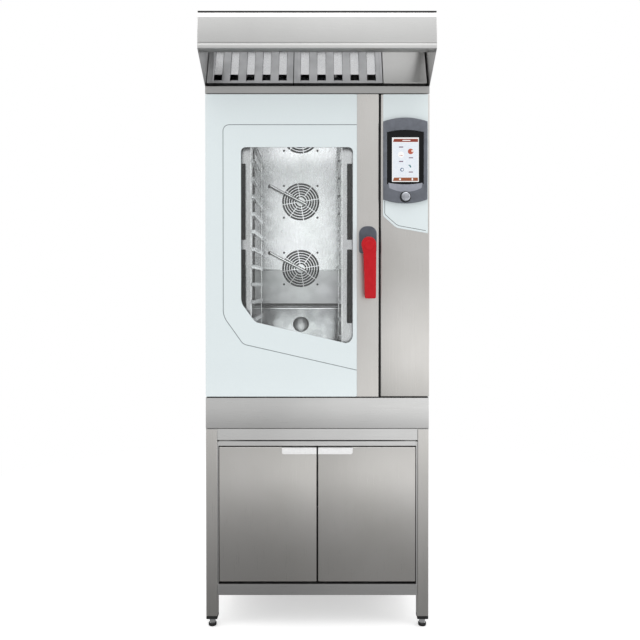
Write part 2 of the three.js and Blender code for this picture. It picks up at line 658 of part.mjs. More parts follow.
add("door_frame", FINISH.brushed, doorFrame());
add(
  "door_outer_glass",
  FINISH.printedGlass,
  frontPlate(rectangle([1 - HALF, STILE_X[0] - GAP], DOOR, 3), [FRONT, FRONT + 6], 2),
);
add("door_inner_glass", FINISH.clearGlass, block([-282, 130], [FRONT + 46, FRONT + 50], [976, 1893]));
add("handle_stile", FINISH.brushed, handleStile());
add("handle_rosette", FINISH.darkPlastic, handleRosette());
add("handle_lever", FINISH.redPlastic, handleLever(), [HANDLE[0], FRONT, HANDLE[1]]);
add("latch_hook", FINISH.zinc, latchHook(), [HANDLE[0], FRONT, HANDLE[1]]);
add("door_hinge_top", FINISH.zinc, doorHinge(true));
add("door_hinge_bottom", FINISH.zinc, doorHinge(false));
add("door_gasket", FINISH.blackRubber, doorGasket());

// ---- control column ----

// Folded column beside the door, open behind, with an opening for the display and a hole for the selector.
function controlFascia() {
  const x = [COLUMN_X, HALF];
  const y = [FRONT, FRAME_Y - GAP];
  const hollow = block([x[0] + SHEET, x[1] - SHEET], [y[0] + SHEET, y[1] + 1], [DOOR[0] + SHEET, DOOR[1] - SHEET]);
  const opening = block([252, 372], [FRONT - 1, FRONT + 3], [1590, 1770]);
  const selector = bar(5, [SELECTOR[0], FRONT - 1, SELECTOR[1]], [SELECTOR[0], FRONT + 3, SELECTOR[1]], 12);
  return cut(block(x, y, DOOR), hollow, opening, selector);
}

// Printed glass on the upper part of the column, with a slanted lower edge.
function fasciaGlass() {
  const face = polygon([[394, 1414], [394, DOOR[1] - 1], [234, DOOR[1] - 1], [234, 1476], [280.6, 1434]]);
  face.holes.push(rectangle([252, 372], [1590, 1770]));
  face.holes.push(new THREE.Path().absarc(...SELECTOR, 5, 0, 2 * Math.PI));
  return frontPlate(face, [FRONT - 3.4, FRONT - GAP]);
}

// An outline with straight sides and bowed ends, centred on x; each end rises by its bow in the middle.
function bowed(x, [z0, z1], halfWidth, bow) {
  const radius = (halfWidth ** 2 + bow ** 2) / (2 * bow);
  const half = Math.asin(halfWidth / radius);
  return new THREE.Shape()
    .absarc(x, z0 - bow + radius, radius, Math.PI * 1.5 - half, Math.PI * 1.5 + half)
    .absarc(x, z1 + bow - radius, radius, Math.PI / 2 - half, Math.PI / 2 + half);
}

const BEZEL_FRONT = FRONT - 16;
const SCREEN_FRONT = BEZEL_FRONT + 5;

// Bowed frame around the display, with a ledge scooped down to the screen's lower edge.

function controlBezel() {
  const body = frontPlate(bowed(SELECTOR[0], [1534, 1809], 78.5, 14), [BEZEL_FRONT, FRONT - 3.4 - GAP], 8);
  const recess = frontPlate(bowed(SELECTOR[0], [1587, 1772], 66, 8), [BEZEL_FRONT - 1, FRONT - 9], 8);
  const ledge = sidePlate(
    polygon([[BEZEL_FRONT - 1, 1551], [SCREEN_FRONT, 1588], [BEZEL_FRONT - 1, 1588]]),
    [SELECTOR[0] - 62, SELECTOR[0] + 62],
  );
  const selector = bar(5, [SELECTOR[0], BEZEL_FRONT - 1, SELECTOR[1]], [SELECTOR[0], FRONT, SELECTOR[1]], 12);
  return cut(body, recess, ledge, block([254, 370], [FRONT - 12, FRONT], [1592, 1768]), selector);
}

const touchScreen = () =>
  frontPlate(bowed(SELECTOR[0], [1588, 1771], 65, 7.9), [SCREEN_FRONT, FRONT - 9 - GAP], 8);

// Turned knob about its own axis, open behind over the end of its shaft.
function selectorKnob() {
  const profile = [[0, 0], [13, 0], [15.5, 2.5], [15.5, 14], [13, 14], [13, 10], [0, 10]];
  return turned(profile, 20).rotate([-90, 0, 0]);
}

// Shaft of the selector, with the flange that its push switch works on.
function selectorShaft() {
  const rod = bar(3.5, [0, 0, 0], [0, 44, 0], 12);
  return join(rod, bar(9, [0, 34, 0], [0, 37, 0], 12));
}

// Circuit board behind the display, with relays, a transformer and connectors.
function controllerBoard() {
  const y = FRONT + 44;
  const board = block([246, 380], [y, y + 2], [1560, 1800]);
  const parts = [
    block([254, 290], [y - 20, y + 1], [1745, 1790]),
    block([300, 372], [y - 12, y + 1], [1775, 1792]),
    block([330, 372], [y - 16, y + 1], [1570, 1600]),
  ];
  for (let i = 0; i < 4; i++) parts.push(block([254 + i * 29, 276 + i * 29], [y - 14, y + 1], [1690, 1712]));
  return join(board, parts);
}

add("control_fascia", FINISH.brushed, controlFascia());
add("fascia_glass", FINISH.printedGlass, fasciaGlass());
add("control_bezel", FINISH.bezelGrey, controlBezel());
add("touch_screen", FINISH.screen, touchScreen());
add("selector_shaft", FINISH.zinc, selectorShaft(), [SELECTOR[0], BEZEL_FRONT - 6, SELECTOR[1]]);
add("selector_knob", FINISH.knobSilver, selectorKnob(), [SELECTOR[0], BEZEL_FRONT - 16.5, SELECTOR[1]]);
add("controller_board", FINISH.board, controllerBoard());

// ---- services ----

function fluePipe() {
  const z = [DOME[1] - 0.5, 2070];
  const wall = FLUE_RADIUS - SHEET;
  const profile = [[wall, z[0]], [FLUE_RADIUS, z[0]], [FLUE_RADIUS, z[1]], [wall, z[1]], [wall, z[0]]];
  return turned(profile, 24);
}

// Drain from the sump ramp down and out through the rear panel.
function drainPipe() {
  const tail = DEPTH / 2;
  const run = (y, z = DRAIN_OUT_Z) => [DRAIN[0], y, z];
  const start = [9, 32, 60].map(belowRamp);
  const pipe = bentBar(24, [...start, run(FRONT + 735, DRAIN_OUT_Z + 20), run(BACK - 40), run(tail)], 16, 12);
  return cut(pipe, bar(20, run(tail - 30), run(tail + 5), 12));
}

// Gland for the supply cable, about its own axis.
const cableGland = () =>
  join(
    turned([[0, -12], [16, -12], [16, -2], [0, -2]], 6),
    turned([[0, -12], [10, -12], [10, 4], [15, GAP], [15, 12], [10, 24], [6, 24], [6, 14], [0, 14]], 12),
  ).rotate([-90, 0, 0]);

add("flue_pipe", FINISH.polished, fluePipe(), [...FLUE, 0]);
add("drain_pipe", FINISH.polished, drainPipe());
add("cable_gland", FINISH.blackPlastic, cableGland(), [GLAND[0], BACK, GLAND[1]]);

// ---- hood ----

// Folded canopy: cheeks, front, top, rear, floor and the band over the door.
function hoodCanopy() {
  const front = FRONT - HOOD_OVERHANG;
  const outline = (grow) => [
    [BACK - grow, HOOD[0] + grow],
    [BACK - grow, HOOD[1] - grow],
    [front + grow + HOOD_CHAMFER[0], HOOD[1] - grow],
    [front + grow, HOOD[1] - grow - HOOD_CHAMFER[1]],
    [front + grow, HOOD_LIP + grow],
    [FRONT + grow, HOOD_BAND_TOP + grow / 2],
    [FRONT + grow, HOOD[0] + grow],
  ];
  const shell = cut(
    sidePlate(polygon(outline(0).reverse()), [-HALF, HALF]),
    sidePlate(polygon(outline(SHEET).reverse()), [SHEET - HALF, HALF - SHEET]),
  );
  // The mouth is everything between the underside flange and the band over the door.
  const mouth = sidePlate(
    polygon([
      [front + 40, HOOD_LIP - 40],
      [FRONT - 0.1, HOOD_BAND_TOP - 40],
      [FRONT - 0.1, HOOD_BAND_TOP + 30],
      [front + 40, HOOD_LIP + 30],
    ]),
    [SHEET - HALF, HALF - SHEET],
  );
  const flange = block([SHEET - HALF - 0.5, HALF - SHEET + 0.5], [front + 0.5, front + 40], [HOOD_LIP, HOOD_LIP + SHEET]);
  const ledge = block(
    [SHEET - HALF - 0.5, HALF - SHEET + 0.5],
    [FRONT + 0.5, FRONT + 13],
    [HOOD_BAND_TOP - SHEET, HOOD_BAND_TOP],
  );
  const corner = sidePlate(
    polygon([[front - 1, HOOD_LIP - 30], [front + 40.1, HOOD_LIP - 30], [front + 40.1, HOOD_LIP], [front - 1, HOOD_LIP]]),
    [SHEET - HALF, HALF - SHEET],
  );
  // A flange turned in along the sloped edge of each cheek.
  const slope = sidePlate(
    polygon([
      [front + 0.5, HOOD_LIP],
      [front + 2.4, HOOD_LIP],
      [FRONT + 1, HOOD_BAND_TOP - SHEET / 2],
      [FRONT - 0.1, HOOD_BAND_TOP - SHEET],
    ].reverse()),
    [SHEET - HALF - 0.5, HALF - SHEET + 0.5],
  ).subtract(block([14 - HALF, HALF - 14], [front - 1, FRONT + 2], HOOD));
  const holes = [
    bar(DUCT_RADIUS, [...DUCT, HOOD[1] - 5], [...DUCT, HOOD[1] + 5], 24),
    floorPlate(domeOpening(), [HOOD[0] - 1, HOOD[0] + SHEET + 1]),
  ];
  return cut(join(cut(shell, mouth, corner), flange, ledge, slope), holes);
}

// Baffle filter drawn upright with its lower left front corner at the origin.
function hoodFilter(width, baffles) {
  const depth = 18;
  const border = 9;
  const ring = cut(
    block([0, width], [0, depth], [0, FILTER_LENGTH]),
    block([border, width - border], [-1, depth + 1], [border, FILTER_LENGTH - border]),
  );
  const pitch = (width - 2 * border) / baffles;
  const slats = [];
  const length = [border - 1, FILTER_LENGTH - border + 1];
  for (let i = 0; i <= baffles; i++) {
    const x = border + pitch * i;
    slats.push(block([Math.max(x - 17, border - 1), Math.min(x + 17, width - border + 1)], [2, 4], length));
    if (i < baffles) slats.push(block([x + 9, x + pitch - 9], [12, 14], length));
  }
  return join(ring, slats);
}

// Blank panel beside the filters, folded back along its edges.
function hoodCoverPanel(width) {
  const pan = block([0, width], [0, 14], [0, FILTER_LENGTH]);
  return cut(pan, block([SHEET, width - SHEET], [SHEET, 15], [SHEET, FILTER_LENGTH - SHEET]));
}

// Extractor fan unit: round housing hung from the canopy's top by the flange of its outlet, under the duct.
const extractorFan = () =>
  turned(
    [[0, 0], [50, 0], [52, 6], [105, 6], [105, 64], [70, 70], [70, 113], [90, 113], [90, 116], [66, 116], [66, 74], [0, 74]],
    20,
  );

function ductCollar() {
  const [inner, outer, flange] = [DUCT_RADIUS - SHEET, DUCT_RADIUS, DUCT_RADIUS + 18];
  const profile = [[inner, GAP], [flange, GAP], [flange, 2], [outer, 2], [outer, 40], [inner, 40], [inner, GAP]];
  return turned(profile, 32);
}

add("hood_canopy", FINISH.brushed, hoodCanopy());
const filterBank = new THREE.Group();
filterBank.position.set(0, ...FILTER_FOOT);
filterBank.rotation.x = (-FILTER_TILT * Math.PI) / 180;
oven.add(filterBank);
add("hood_filter_left", FINISH.brushed, hoodFilter(309, 5), [-396, 0, 0], filterBank);
add("hood_filter_right", FINISH.brushed, hoodFilter(318, 5), [-84, 0, 0], filterBank);
add("hood_cover_panel", FINISH.brushed, hoodCoverPanel(156), [237, 0, 0], filterBank);
add("extractor_fan", FINISH.zinc, extractorFan(), [...DUCT, 2030]);
add("duct_collar", FINISH.zinc, ductCollar(), [...DUCT, HOOD[1]]);

export default oven;
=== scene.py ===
"""Looks of a combi steamer oven under a condensation hood, on a cabinet stand.

Shapes are worked out in millimetres in the CAD's frame and turned into metres when a piece is finished.
"""

import math

import bmesh
import bpy
from mathutils import Matrix, Vector


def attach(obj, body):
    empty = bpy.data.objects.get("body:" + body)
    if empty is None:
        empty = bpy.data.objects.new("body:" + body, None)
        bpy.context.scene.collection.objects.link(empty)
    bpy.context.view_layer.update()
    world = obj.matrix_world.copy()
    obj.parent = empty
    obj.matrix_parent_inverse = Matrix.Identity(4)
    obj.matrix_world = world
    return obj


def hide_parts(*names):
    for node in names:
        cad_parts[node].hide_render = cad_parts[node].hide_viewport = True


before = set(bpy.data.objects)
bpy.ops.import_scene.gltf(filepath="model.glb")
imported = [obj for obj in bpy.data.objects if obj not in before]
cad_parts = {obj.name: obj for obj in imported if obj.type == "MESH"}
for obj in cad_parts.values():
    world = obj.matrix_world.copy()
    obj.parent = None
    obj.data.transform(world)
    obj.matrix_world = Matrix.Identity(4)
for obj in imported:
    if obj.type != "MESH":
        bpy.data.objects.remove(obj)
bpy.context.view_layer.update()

# ---- sizes in millimetres, as the CAD has them ----

MM = 0.001
FRONT = -370.0  # outer face of the oven door
BACK = 480.0  # rear panel
HALF = 400.0  # half the width
SHEET = 1.5  # stainless sheet
DOOR_Z = (831.0, 1909.0)
STILE_X = (141.6, 219.3)
COLUMN_X = 226.5
CAVITY_X = (-291.0, 139.0)
DOME = (FRONT + 130, 2006.0)  # front and top of the cavity's higher part
BAFFLE_Y = FRONT + 660
BAFFLE_Z = (1145.0, DOME[1] - 8)
FAN_X = -78.0
FAN_Z = (1304.0, 1607.0, 1910.0)
RISER_X = FAN_X - 140
BRANCH_RISE = 70.0
RAIL_MIDDLE = -78.0
RAIL_LIP = 153.5  # from the middle between the racks to the rails' inner edge
RAIL_Y = (FRONT + 88, FRONT + 590)
RAIL_Z = tuple(1030.0 + 65 * level for level in range(12))
HANDLE = (180.0, 1369.0)
SELECTOR = (312.0, 1542.0)
BEZEL_FRONT = FRONT - 16
SCREEN_FRONT = BEZEL_FRONT + 5
HOOD_FRONT = FRONT - 150
HOOD_Z = (1912.0, 2148.0)
HOOD_LIP = 2020.0
HOOD_BAND_TOP = 1938.0
FILTER_TILT = 25.0
FILTER_LENGTH = 196.0
FILTER_FOOT = (0.0, FRONT + 15, 1953.0)
DUCT = (0.0, BACK - 140)
RAMP_Z = (985.0, 1120.0)  # foot and top of the ramp at the back of the cavity's floor
RAMP_RUN = 60.0
DRAIN_X = -76.0
DRAIN_Z = 930.0

# ---- shapes ----

CLOSE = 1e-3  # places nearer than this, in millimetres, count as one
FOLD_ANGLE = 0.5  # an edge whose faces turn by more than this, in radians, is a fold
PLANES = {
    "XZ": Matrix.Identity(3),
    "YZ": Matrix.Rotation(math.pi / 2, 3, "Z"),
    "XY": Matrix.Rotation(-math.pi / 2, 3, "X"),
}


def bevelled(part, geom, radius, segments=4, affect="EDGES"):
    """Rounds some edges, or corners, of a part."""
    bmesh.ops.bevel(part, geom=geom, offset=radius, affect=affect, segments=segments,
                    profile=0.5, material=-1, clamp_overlap=True)


def flat(points, radii=0, segments=6):
    """A flat face through (x, z) points, its corners rounded to one radius or to one each."""
    part = bmesh.new()
    corners = [part.verts.new((x, 0, z)) for x, z in points]
    part.faces.new(corners)
    radii = radii if isinstance(radii, (list, tuple)) else [radii] * len(points)
    for radius in sorted(set(radii) - {0}):
        chosen = [v for v, own in zip(corners, radii) if own == radius]
        bevelled(part, chosen, radius, segments, "VERTICES")
    return part


def rounded(points, radii, segments=5):
    """The points of an outline with its corners rounded."""
    part = flat(points, radii, segments)
    part.faces.ensure_lookup_table()
    outline = [(v.co.x, v.co.z) for v in part.faces[0].verts]
    part.free()
    return outline


def rectangle(x, z):
    """The corners of a rectangle from its two ranges."""
    return [(x[0], z[0]), (x[1], z[0]), (x[1], z[1]), (x[0], z[1])]


def circle(centre, radius, sides=32):
    """The points of a circle."""
    part = bmesh.new()
    made = bmesh.ops.create_circle(part, radius=radius, segments=sides)
    outline = [(centre[0] + v.co.x, centre[1] + v.co.y) for v in made["verts"]]
    part.free()
    return outline


def thicken(part, depth, plane):
    """Pushes the flat faces at y = depth[0] back to depth[1], the depth flipped for a plane other than XZ so that the
    caller can turn them into it.
    """
    if plane != "XZ":
        depth = (-depth[1], -depth[0])
    bmesh.ops.translate(part, verts=part.verts, vec=(0, depth[0], 0))
    pushed = bmesh.ops.extrude_face_region(part, geom=part.faces[:])["geom"]
    moved = [g for g in pushed if isinstance(g, bmesh.types.BMVert)]
    bmesh.ops.translate(part, verts=moved, vec=(0, depth[1] - depth[0], 0))
    bmesh.ops.recalc_face_normals(part, faces=part.faces)
    return depth


def plate(points, depth, plane="XZ", radii=0, edge=0, segments=6, both=False):
    """An outline as a plate. The rim of its front, or top, or right face is rounded by edge."""
    part = flat(points, radii, segments)
    depth = thicken(part, depth, plane)
    if edge:
        faces = depth if both else depth[:1]
        rim = [e for e in part.edges for y in faces if all(abs(v.co.y - y) < CLOSE for v in e.verts)]
        bevelled(part, rim, edge)
    bmesh.ops.rotate(part, verts=part.verts, matrix=PLANES[plane])
    return part


def ring(outer, inner, depth, edge=0.0, plane="XZ"):
    """A plate between two outlines of as many points, with the rims of its front rounded by edge."""
    part = bmesh.new()
    edges = []
    for points in (outer, inner):
        loop = [part.verts.new((x, 0, z)) for x, z in points]
        edges += [part.edges.new(pair) for pair in zip(loop, loop[1:] + loop[:1])]
    bmesh.ops.bridge_loops(part, edges=edges)
    depth = thicken(part, depth, plane)
    if edge:
        rim = [e for e in part.edges if e.calc_face_angle() > FOLD_ANGLE
               and all(abs(v.co.y - depth[0]) < CLOSE for v in e.verts)]
        bevelled(part, rim, edge)
    bmesh.ops.rotate(part, verts=part.verts, matrix=PLANES[plane])
    return part


def perforated(outlines, depth, plane="XZ"):
    """A plate whose first outline is its edge and whose others are holes."""
    part = bmesh.new()
    for points in outlines:
        loop = [part.verts.new((x, 0, z)) for x, z in points]
        for here, there in zip(loop, loop[1:] + loop[:1]):
            part.edges.new((here, there))
    bmesh.ops.triangle_fill(part, use_beauty=True, edges=part.edges[:])
    thicken(part, depth, plane)
    bmesh.ops.rotate(part, verts=part.verts, matrix=PLANES[plane])
    return part


def block(x, y, z, edge=0.0, segments=3):
    """A box with every edge rounded."""
    part = bmesh.new()
    size = Matrix.Diagonal((x[1] - x[0], y[1] - y[0], z[1] - z[0], 1))
    middle = Matrix.Translation([(low + high) / 2 for low, high in (x, y, z)])
    bmesh.ops.create_cube(part, size=1, matrix=middle @ size)
    if edge:
        bevelled(part, part.edges[:], edge, segments)
    return part


def walled(part, thickness):
    """Gives an open skin a wall on its inner side."""
    bmesh.ops.recalc_face_normals(part, faces=part.faces)
    bmesh.ops.solidify(part, geom=part.faces[:], thickness=thickness)
    bmesh.ops.recalc_face_normals(part, faces=part.faces)
    return part


def pan(x, y, z, opening, bend=2.0, lip=0.0):
    """A folded sheet box, open towards one side, with a lip turned in around the opening."""
    part = block(x, y, z)
    way = Vector(opening)
    open_face = next(f for f in part.faces if f.normal.dot(way) > 0.9)
    if lip:
        bmesh.ops.inset_region(part, faces=[open_face], thickness=lip, use_even_offset=True)
    bmesh.ops.delete(part, geom=[open_face], context="FACES")
    folds = [e for e in part.edges if len(e.link_faces) == 2 and e.calc_face_angle() > FOLD_ANGLE]
    bevelled(part, folds, bend)
    return walled(part, SHEET)


def folded(path, span, along="X", bend=2.0, thickness=SHEET, corner=None):
    """A sheet folded along a path of two coordinates, and as long as span along the third axis.
    The path runs along its outer side, with the metal to its left. A free corner may be rounded."""
    spots = {
        "X": lambda pair, third: (third, *pair),
        "Y": lambda pair, third: (pair[0], third, pair[1]),
        "Z": lambda pair, third: (*pair, third),
    }
    spot = spots[along]
    part = bmesh.new()
    row = [part.verts.new(spot(pair, span[0])) for pair in path]
    edges = [part.edges.new(pair) for pair in zip(row, row[1:])]
    swept = bmesh.ops.extrude_edge_only(part, edges=edges)["geom"]
    moved = [g for g in swept if isinstance(g, bmesh.types.BMVert)]
    bmesh.ops.translate(part, verts=moved, vec=spot((0, 0), span[1] - span[0]))
    if corner:
        place, radius = corner
        chosen = [v for v in part.verts if (v.co - Vector(place)).length < CLOSE]
        bevelled(part, chosen, radius, 6, "VERTICES")
    folds = [e for e in part.edges if len(e.link_faces) == 2]
    if bend and folds:
        bevelled(part, folds, bend)
    bmesh.ops.solidify(part, geom=part.faces[:], thickness=thickness if along == "Y" else -thickness)
    bmesh.ops.recalc_face_normals(part, faces=part.faces)
    return part


AXES = {
    "Z": Matrix.Identity(3),
    "Y": Matrix.Rotation(-math.pi / 2, 3, "X"),
    "X": Matrix.Rotation(math.pi / 2, 3, "Y"),
}


def turned(profile, centre, along="Z", steps=48):
    """A piece turned from (radius, height) pairs, with its heights along an axis from a centre."""
    part = bmesh.new()
    row = [part.verts.new((radius, 0, height)) for radius, height in profile]
    edges = [part.edges.new(pair) for pair in zip(row, row[1:])]
    bmesh.ops.spin(part, geom=row + edges, cent=(0, 0, 0), axis=(0, 0, 1), dvec=(0, 0, 0),
                   angle=2 * math.pi, steps=steps, use_merge=True, use_duplicate=False)
    bmesh.ops.remove_doubles(part, verts=part.verts, dist=1e-4)
    bmesh.ops.recalc_face_normals(part, faces=part.faces)
    bmesh.ops.rotate(part, verts=part.verts, matrix=AXES[along])
    bmesh.ops.translate(part, verts=part.verts, vec=centre)
    return part


def tube(points, radius, resolution=5):
    """A bent round bar along a smooth line that starts and ends at its first and last point."""
    line = bpy.data.curves.new("tube", "CURVE")
    line.dimensions = "3D"
    line.bevel_depth = radius
    line.bevel_resolution = resolution
    line.use_fill_caps = True
    line.resolution_u = 8
    spline = line.splines.new("NURBS")
    spline.points.add(len(points) - 1)
    for point, place in zip(spline.points, points):
        point.co = (*place, 1)
    spline.order_u = 3
    spline.use_endpoint_u = True
    holder = bpy.data.objects.new("tube", line)
    bpy.context.scene.collection.objects.link(holder)
    mesh = bpy.data.meshes.new_from_object(holder.evaluated_get(bpy.context.evaluated_depsgraph_get()))
    part = bmesh.new()
    part.from_mesh(mesh)
    bmesh.ops.remove_doubles(part, verts=part.verts, dist=CLOSE)
    bmesh.ops.recalc_face_normals(part, faces=part.faces)
    bpy.data.objects.remove(holder)
    bpy.data.curves.remove(line)
    bpy.data.meshes.remove(mesh)
    return part


def cut(part, place, normal, clear=False):
    """Cuts the part along a plane, and may clear what lies beyond it."""
    everything = part.verts[:] + part.edges[:] + part.faces[:]
    bmesh.ops.bisect_plane(part, geom=everything, plane_co=place, plane_no=normal, clear_outer=clear)


def painted(part, index):
    """The part, with its faces in the piece's material of that number."""
    for face in part.faces:
        face.material_index = index
    return part


def moved(part, vec=(0, 0, 0), turn=None):
    """The part turned about the origin, then moved."""
    if turn is not None:
        bmesh.ops.rotate(part, verts=part.verts, matrix=turn)
    bmesh.ops.translate(part, verts=part.verts, vec=vec)
    return part


def mirrored(part):
    """The part's mirror image on the other side of the middle."""
    bmesh.ops.scale(part, verts=part.verts, vec=(-1, 1, 1))
    bmesh.ops.reverse_faces(part, faces=part.faces)
    return part


def piece(name, body, materials, parts, replaces=(), sharp=35):
    """Joins parts into one finished object in metres that rides on a body."""
    whole = bmesh.new()
    for part in parts:
        bit = bpy.data.meshes.new("bit")
        part.to_mesh(bit)
        part.free()
        whole.from_mesh(bit)
        bpy.data.meshes.remove(bit)
    bmesh.ops.scale(whole, verts=whole.verts, vec=(MM, MM, MM))
    for face in whole.faces:
        face.smooth = True
    mesh = bpy.data.meshes.new(name)
    whole.to_mesh(mesh)
    whole.free()
    mesh.set_sharp_from_angle(angle=math.radians(sharp))
    for material in materials:
        mesh.materials.append(material)
    made = bpy.data.objects.new(name, mesh)
    bpy.context.scene.collection.objects.link(made)
    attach(made, body)
    if replaces:
        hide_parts(*replaces)


# ---- finishes ----


def colour(code):
    """An sRGB hex value as linear RGBA."""
    parts = [int(code[i:i + 2], 16) / 255 for i in (1, 3, 5)]
    return (*[p / 12.92 if p <= 0.04045 else ((p + 0.055) / 1.055) ** 2.4 for p in parts], 1)


def node(tree, kind, inputs=None, **settings):
    """Adds a node with its settings, and sets or links its inputs."""
    made = tree.nodes.new(kind)
    for key, value in settings.items():
        setattr(made, key, value)
    for key, value in (inputs or {}).items():
        if isinstance(value, bpy.types.NodeSocket):
            tree.links.new(value, made.inputs[key])
        else:
            made.inputs[key].default_value = value
    return made


def finish(name, **values):
    """A material with one Principled shader, and its node tree and shader."""
    material = bpy.data.materials.new(name)
    material.use_nodes = True
    tree = material.node_tree
    shader = tree.nodes["Principled BSDF"]
    for key, value in values.items():
        shader.inputs[key.replace("_", " ")].default_value = value
    return material, tree, shader


def grain(tree, millimetres, detail=2.0, rough=0.5):
    """A noise on Object coordinates whose cells are so many millimetres along X, Y and Z."""
    place = node(tree, "ShaderNodeTexCoord").outputs["Object"]
    scale = [1 / (size * MM) for size in millimetres]
    spread = node(tree, "ShaderNodeMapping", {"Vector": place, "Scale": scale})
    noise = node(tree, "ShaderNodeTexNoise", {"Vector": spread.outputs["Vector"], "Scale": 1.0,
                                              "Detail": detail, "Roughness": rough})
    return noise.outputs["Fac"]


def between(tree, factor, low, high):
    """A factor of 0.3 to 0.7 spread over low to high."""
    return node(tree, "ShaderNodeMapRange", {"Value": factor, "From Min": 0.3, "From Max": 0.7,
                                             "To Min": low, "To Max": high}).outputs["Result"]


def tinted(tree, factor, dark, light):
    """A colour between two, by a factor of 0.3 to 0.7."""
    share = between(tree, factor, 0.0, 1.0)
    return node(tree, "ShaderNodeMix", {"Factor": share, 6: colour(dark), 7: colour(light)},
                data_type="RGBA").outputs[2]


def mixed(tree, factor, first, second, blend="MIX"):
    """One colour over another, or times another."""
    return node(tree, "ShaderNodeMix", {"Factor": factor, 6: first, 7: second}, data_type="RGBA",
                blend_type=blend).outputs[2]


def relief(tree, shader, height, distance):
    """Bump on a shader from a height of 0 to 1, so many millimetres deep."""
    bump = node(tree, "ShaderNodeBump", {"Height": height, "Distance": distance * MM, "Strength": 1.0})
    tree.links.new(bump.outputs["Normal"], shader.inputs["Normal"])


def brushed_stainless(name, along, dark="#d2d1cf", light="#dad9d8", rough=(0.27, 0.34)):
    """AISI 304 sheet brushed with a belt. It shows fine parallel scratches along one axis and faint clouds of
    wear. The scratches are about 0.2 mm apart and are drawn at 1.2 mm so that they show."""
    material, tree, shader = finish(name, Metallic=1.0)
    fine = [1.2, 1.2, 1.2]
    fine["XYZ".index(along)] = 160.0
    scratches = grain(tree, fine, detail=3.0, rough=0.6)
    clouds = grain(tree, (220, 220, 220), detail=3.0)
    tree.links.new(tinted(tree, clouds, dark, light), shader.inputs["Base Color"])
    tree.links.new(between(tree, scratches, *rough), shader.inputs["Roughness"])
    relief(tree, shader, scratches, 0.004)
    return material


# Hood, plinth, top and rear panels, and the sheets of the stand: brushed across.
stainless_across = brushed_stainless("brushed_stainless_across", "X", "#d4d4d3", "#dbdbda")
# Column, stile, face frame, legs and cabinet doors: brushed upright.
stainless_upright = brushed_stainless("brushed_stainless_upright", "Z", "#d0ceca", "#d8d6d3")
# Hood's lower band: the same, darkened as painted shade under the canopy's overhang.
stainless_shaded = brushed_stainless("brushed_stainless_painted_shade", "X", "#a9a9a8", "#b1b1b0")
# Side panels: brushed from front to back.
stainless_deep = brushed_stainless("brushed_stainless_deep", "Y")


def pressed_stainless(name, dark, light, rough, wave=0.2, sides=None):
    """Smooth AISI 304 sheet, a little wavy from pressing, with a faint haze of cleaning marks. Its upright sides, which
    face left and right, may take a darker tone as painted shade."""
    material, tree, shader = finish(name, Metallic=1.0)
    waves = grain(tree, (55, 55, 55), detail=1.0)
    marks = grain(tree, (9, 9, 30), detail=4.0, rough=0.7)
    tone = tinted(tree, waves, dark, light)
    if sides:
        # Painted shade: faces that turn left or right take the side tone.
        facing = node(tree, "ShaderNodeTexCoord").outputs["Normal"]
        turn = node(tree, "ShaderNodeSeparateXYZ", {"Vector": facing}).outputs["X"]
        share = node(tree, "ShaderNodeMath", {0: turn}, operation="ABSOLUTE").outputs["Value"]
        tone = mixed(tree, share, tone, colour(sides))
    tree.links.new(tone, shader.inputs["Base Color"])
    tree.links.new(between(tree, marks, *rough), shader.inputs["Roughness"])
    relief(tree, shader, waves, wave)
    return material


# Cavity liner: bright annealed, nearly a mirror, its side walls behind the racks darkened as painted shade.
liner_steel = pressed_stainless("bright_annealed_stainless", "#a6a8aa", "#c4c6c8", (0.1, 0.18), 0.35, "#4c4d4f")
# Fan baffle, door frame and filters: the same sheet, dulled by steam and cleaning. The darker copy below paints shade
# on the baffle's lower part and on the filters' frames and front strips, and is the strainer cap's dull finish.
satin_steel = pressed_stainless("satin_stainless", "#e6e7e9", "#f0f1f3", (0.24, 0.3), 0.03)
dull_steel = pressed_stainless("dulled_and_shaded_stainless", "#b4b5b7", "#c9cacc", (0.28, 0.36), 0.1)
# Rails, pipes and small parts: electropolished.
bright_steel = pressed_stainless("electropolished_stainless", "#ebeced", "#f6f7f8", (0.1, 0.16), 0.05)
# Fan wheels: darkened nearly to black, as painted shade behind the baffle's slots.
fan_steel = pressed_stainless("stainless_darkened_as_shade", "#1d1e20", "#292b2d", (0.4, 0.55), 0.1)


def pickled_stainless():
    """Thin stainless for the small folded pulls, made pale and half diffuse: a painted reflection of the bright light
    from above.
    """
    material, tree, shader = finish("pickled_stainless", Metallic=0.45)
    marks = grain(tree, (8, 8, 8), detail=3.0)
    tree.links.new(tinted(tree, marks, "#f0f0f0", "#f8f8f8"), shader.inputs["Base Color"])
    tree.links.new(between(tree, marks, 0.3, 0.4), shader.inputs["Roughness"])
    return material


def printed_glass():
    """Toughened float glass with pale grey enamel fired on its back. The enamel is matte with fine pinholes,
    and the polished glass in front gives a sharp gloss."""
    material, tree, shader = finish("enamelled_glass", Roughness=0.45, IOR=1.5, Coat_Weight=1.0,
                                    Coat_Roughness=0.03, Coat_IOR=1.52)
    speckle = grain(tree, (1.5, 1.5, 1.5), detail=2.0)
    tree.links.new(tinted(tree, speckle, "#dae4e6", "#dfe8ea"), shader.inputs["Base Color"])
    return material


def clear_glass():
    """Toughened float glass, clear, coated against reflections, with a faint unevenness of its faces."""
    material, tree, shader = finish("toughened_float_glass", Roughness=0.0, IOR=1.5, Transmission_Weight=1.0,
                                    Specular_IOR_Level=0.15)
    sway = grain(tree, (120, 120, 120), detail=0.0)
    tree.links.new(tinted(tree, sway, "#fbfdfc", "#feffff"), shader.inputs["Base Color"])
    relief(tree, shader, sway, 0.02)
    return material


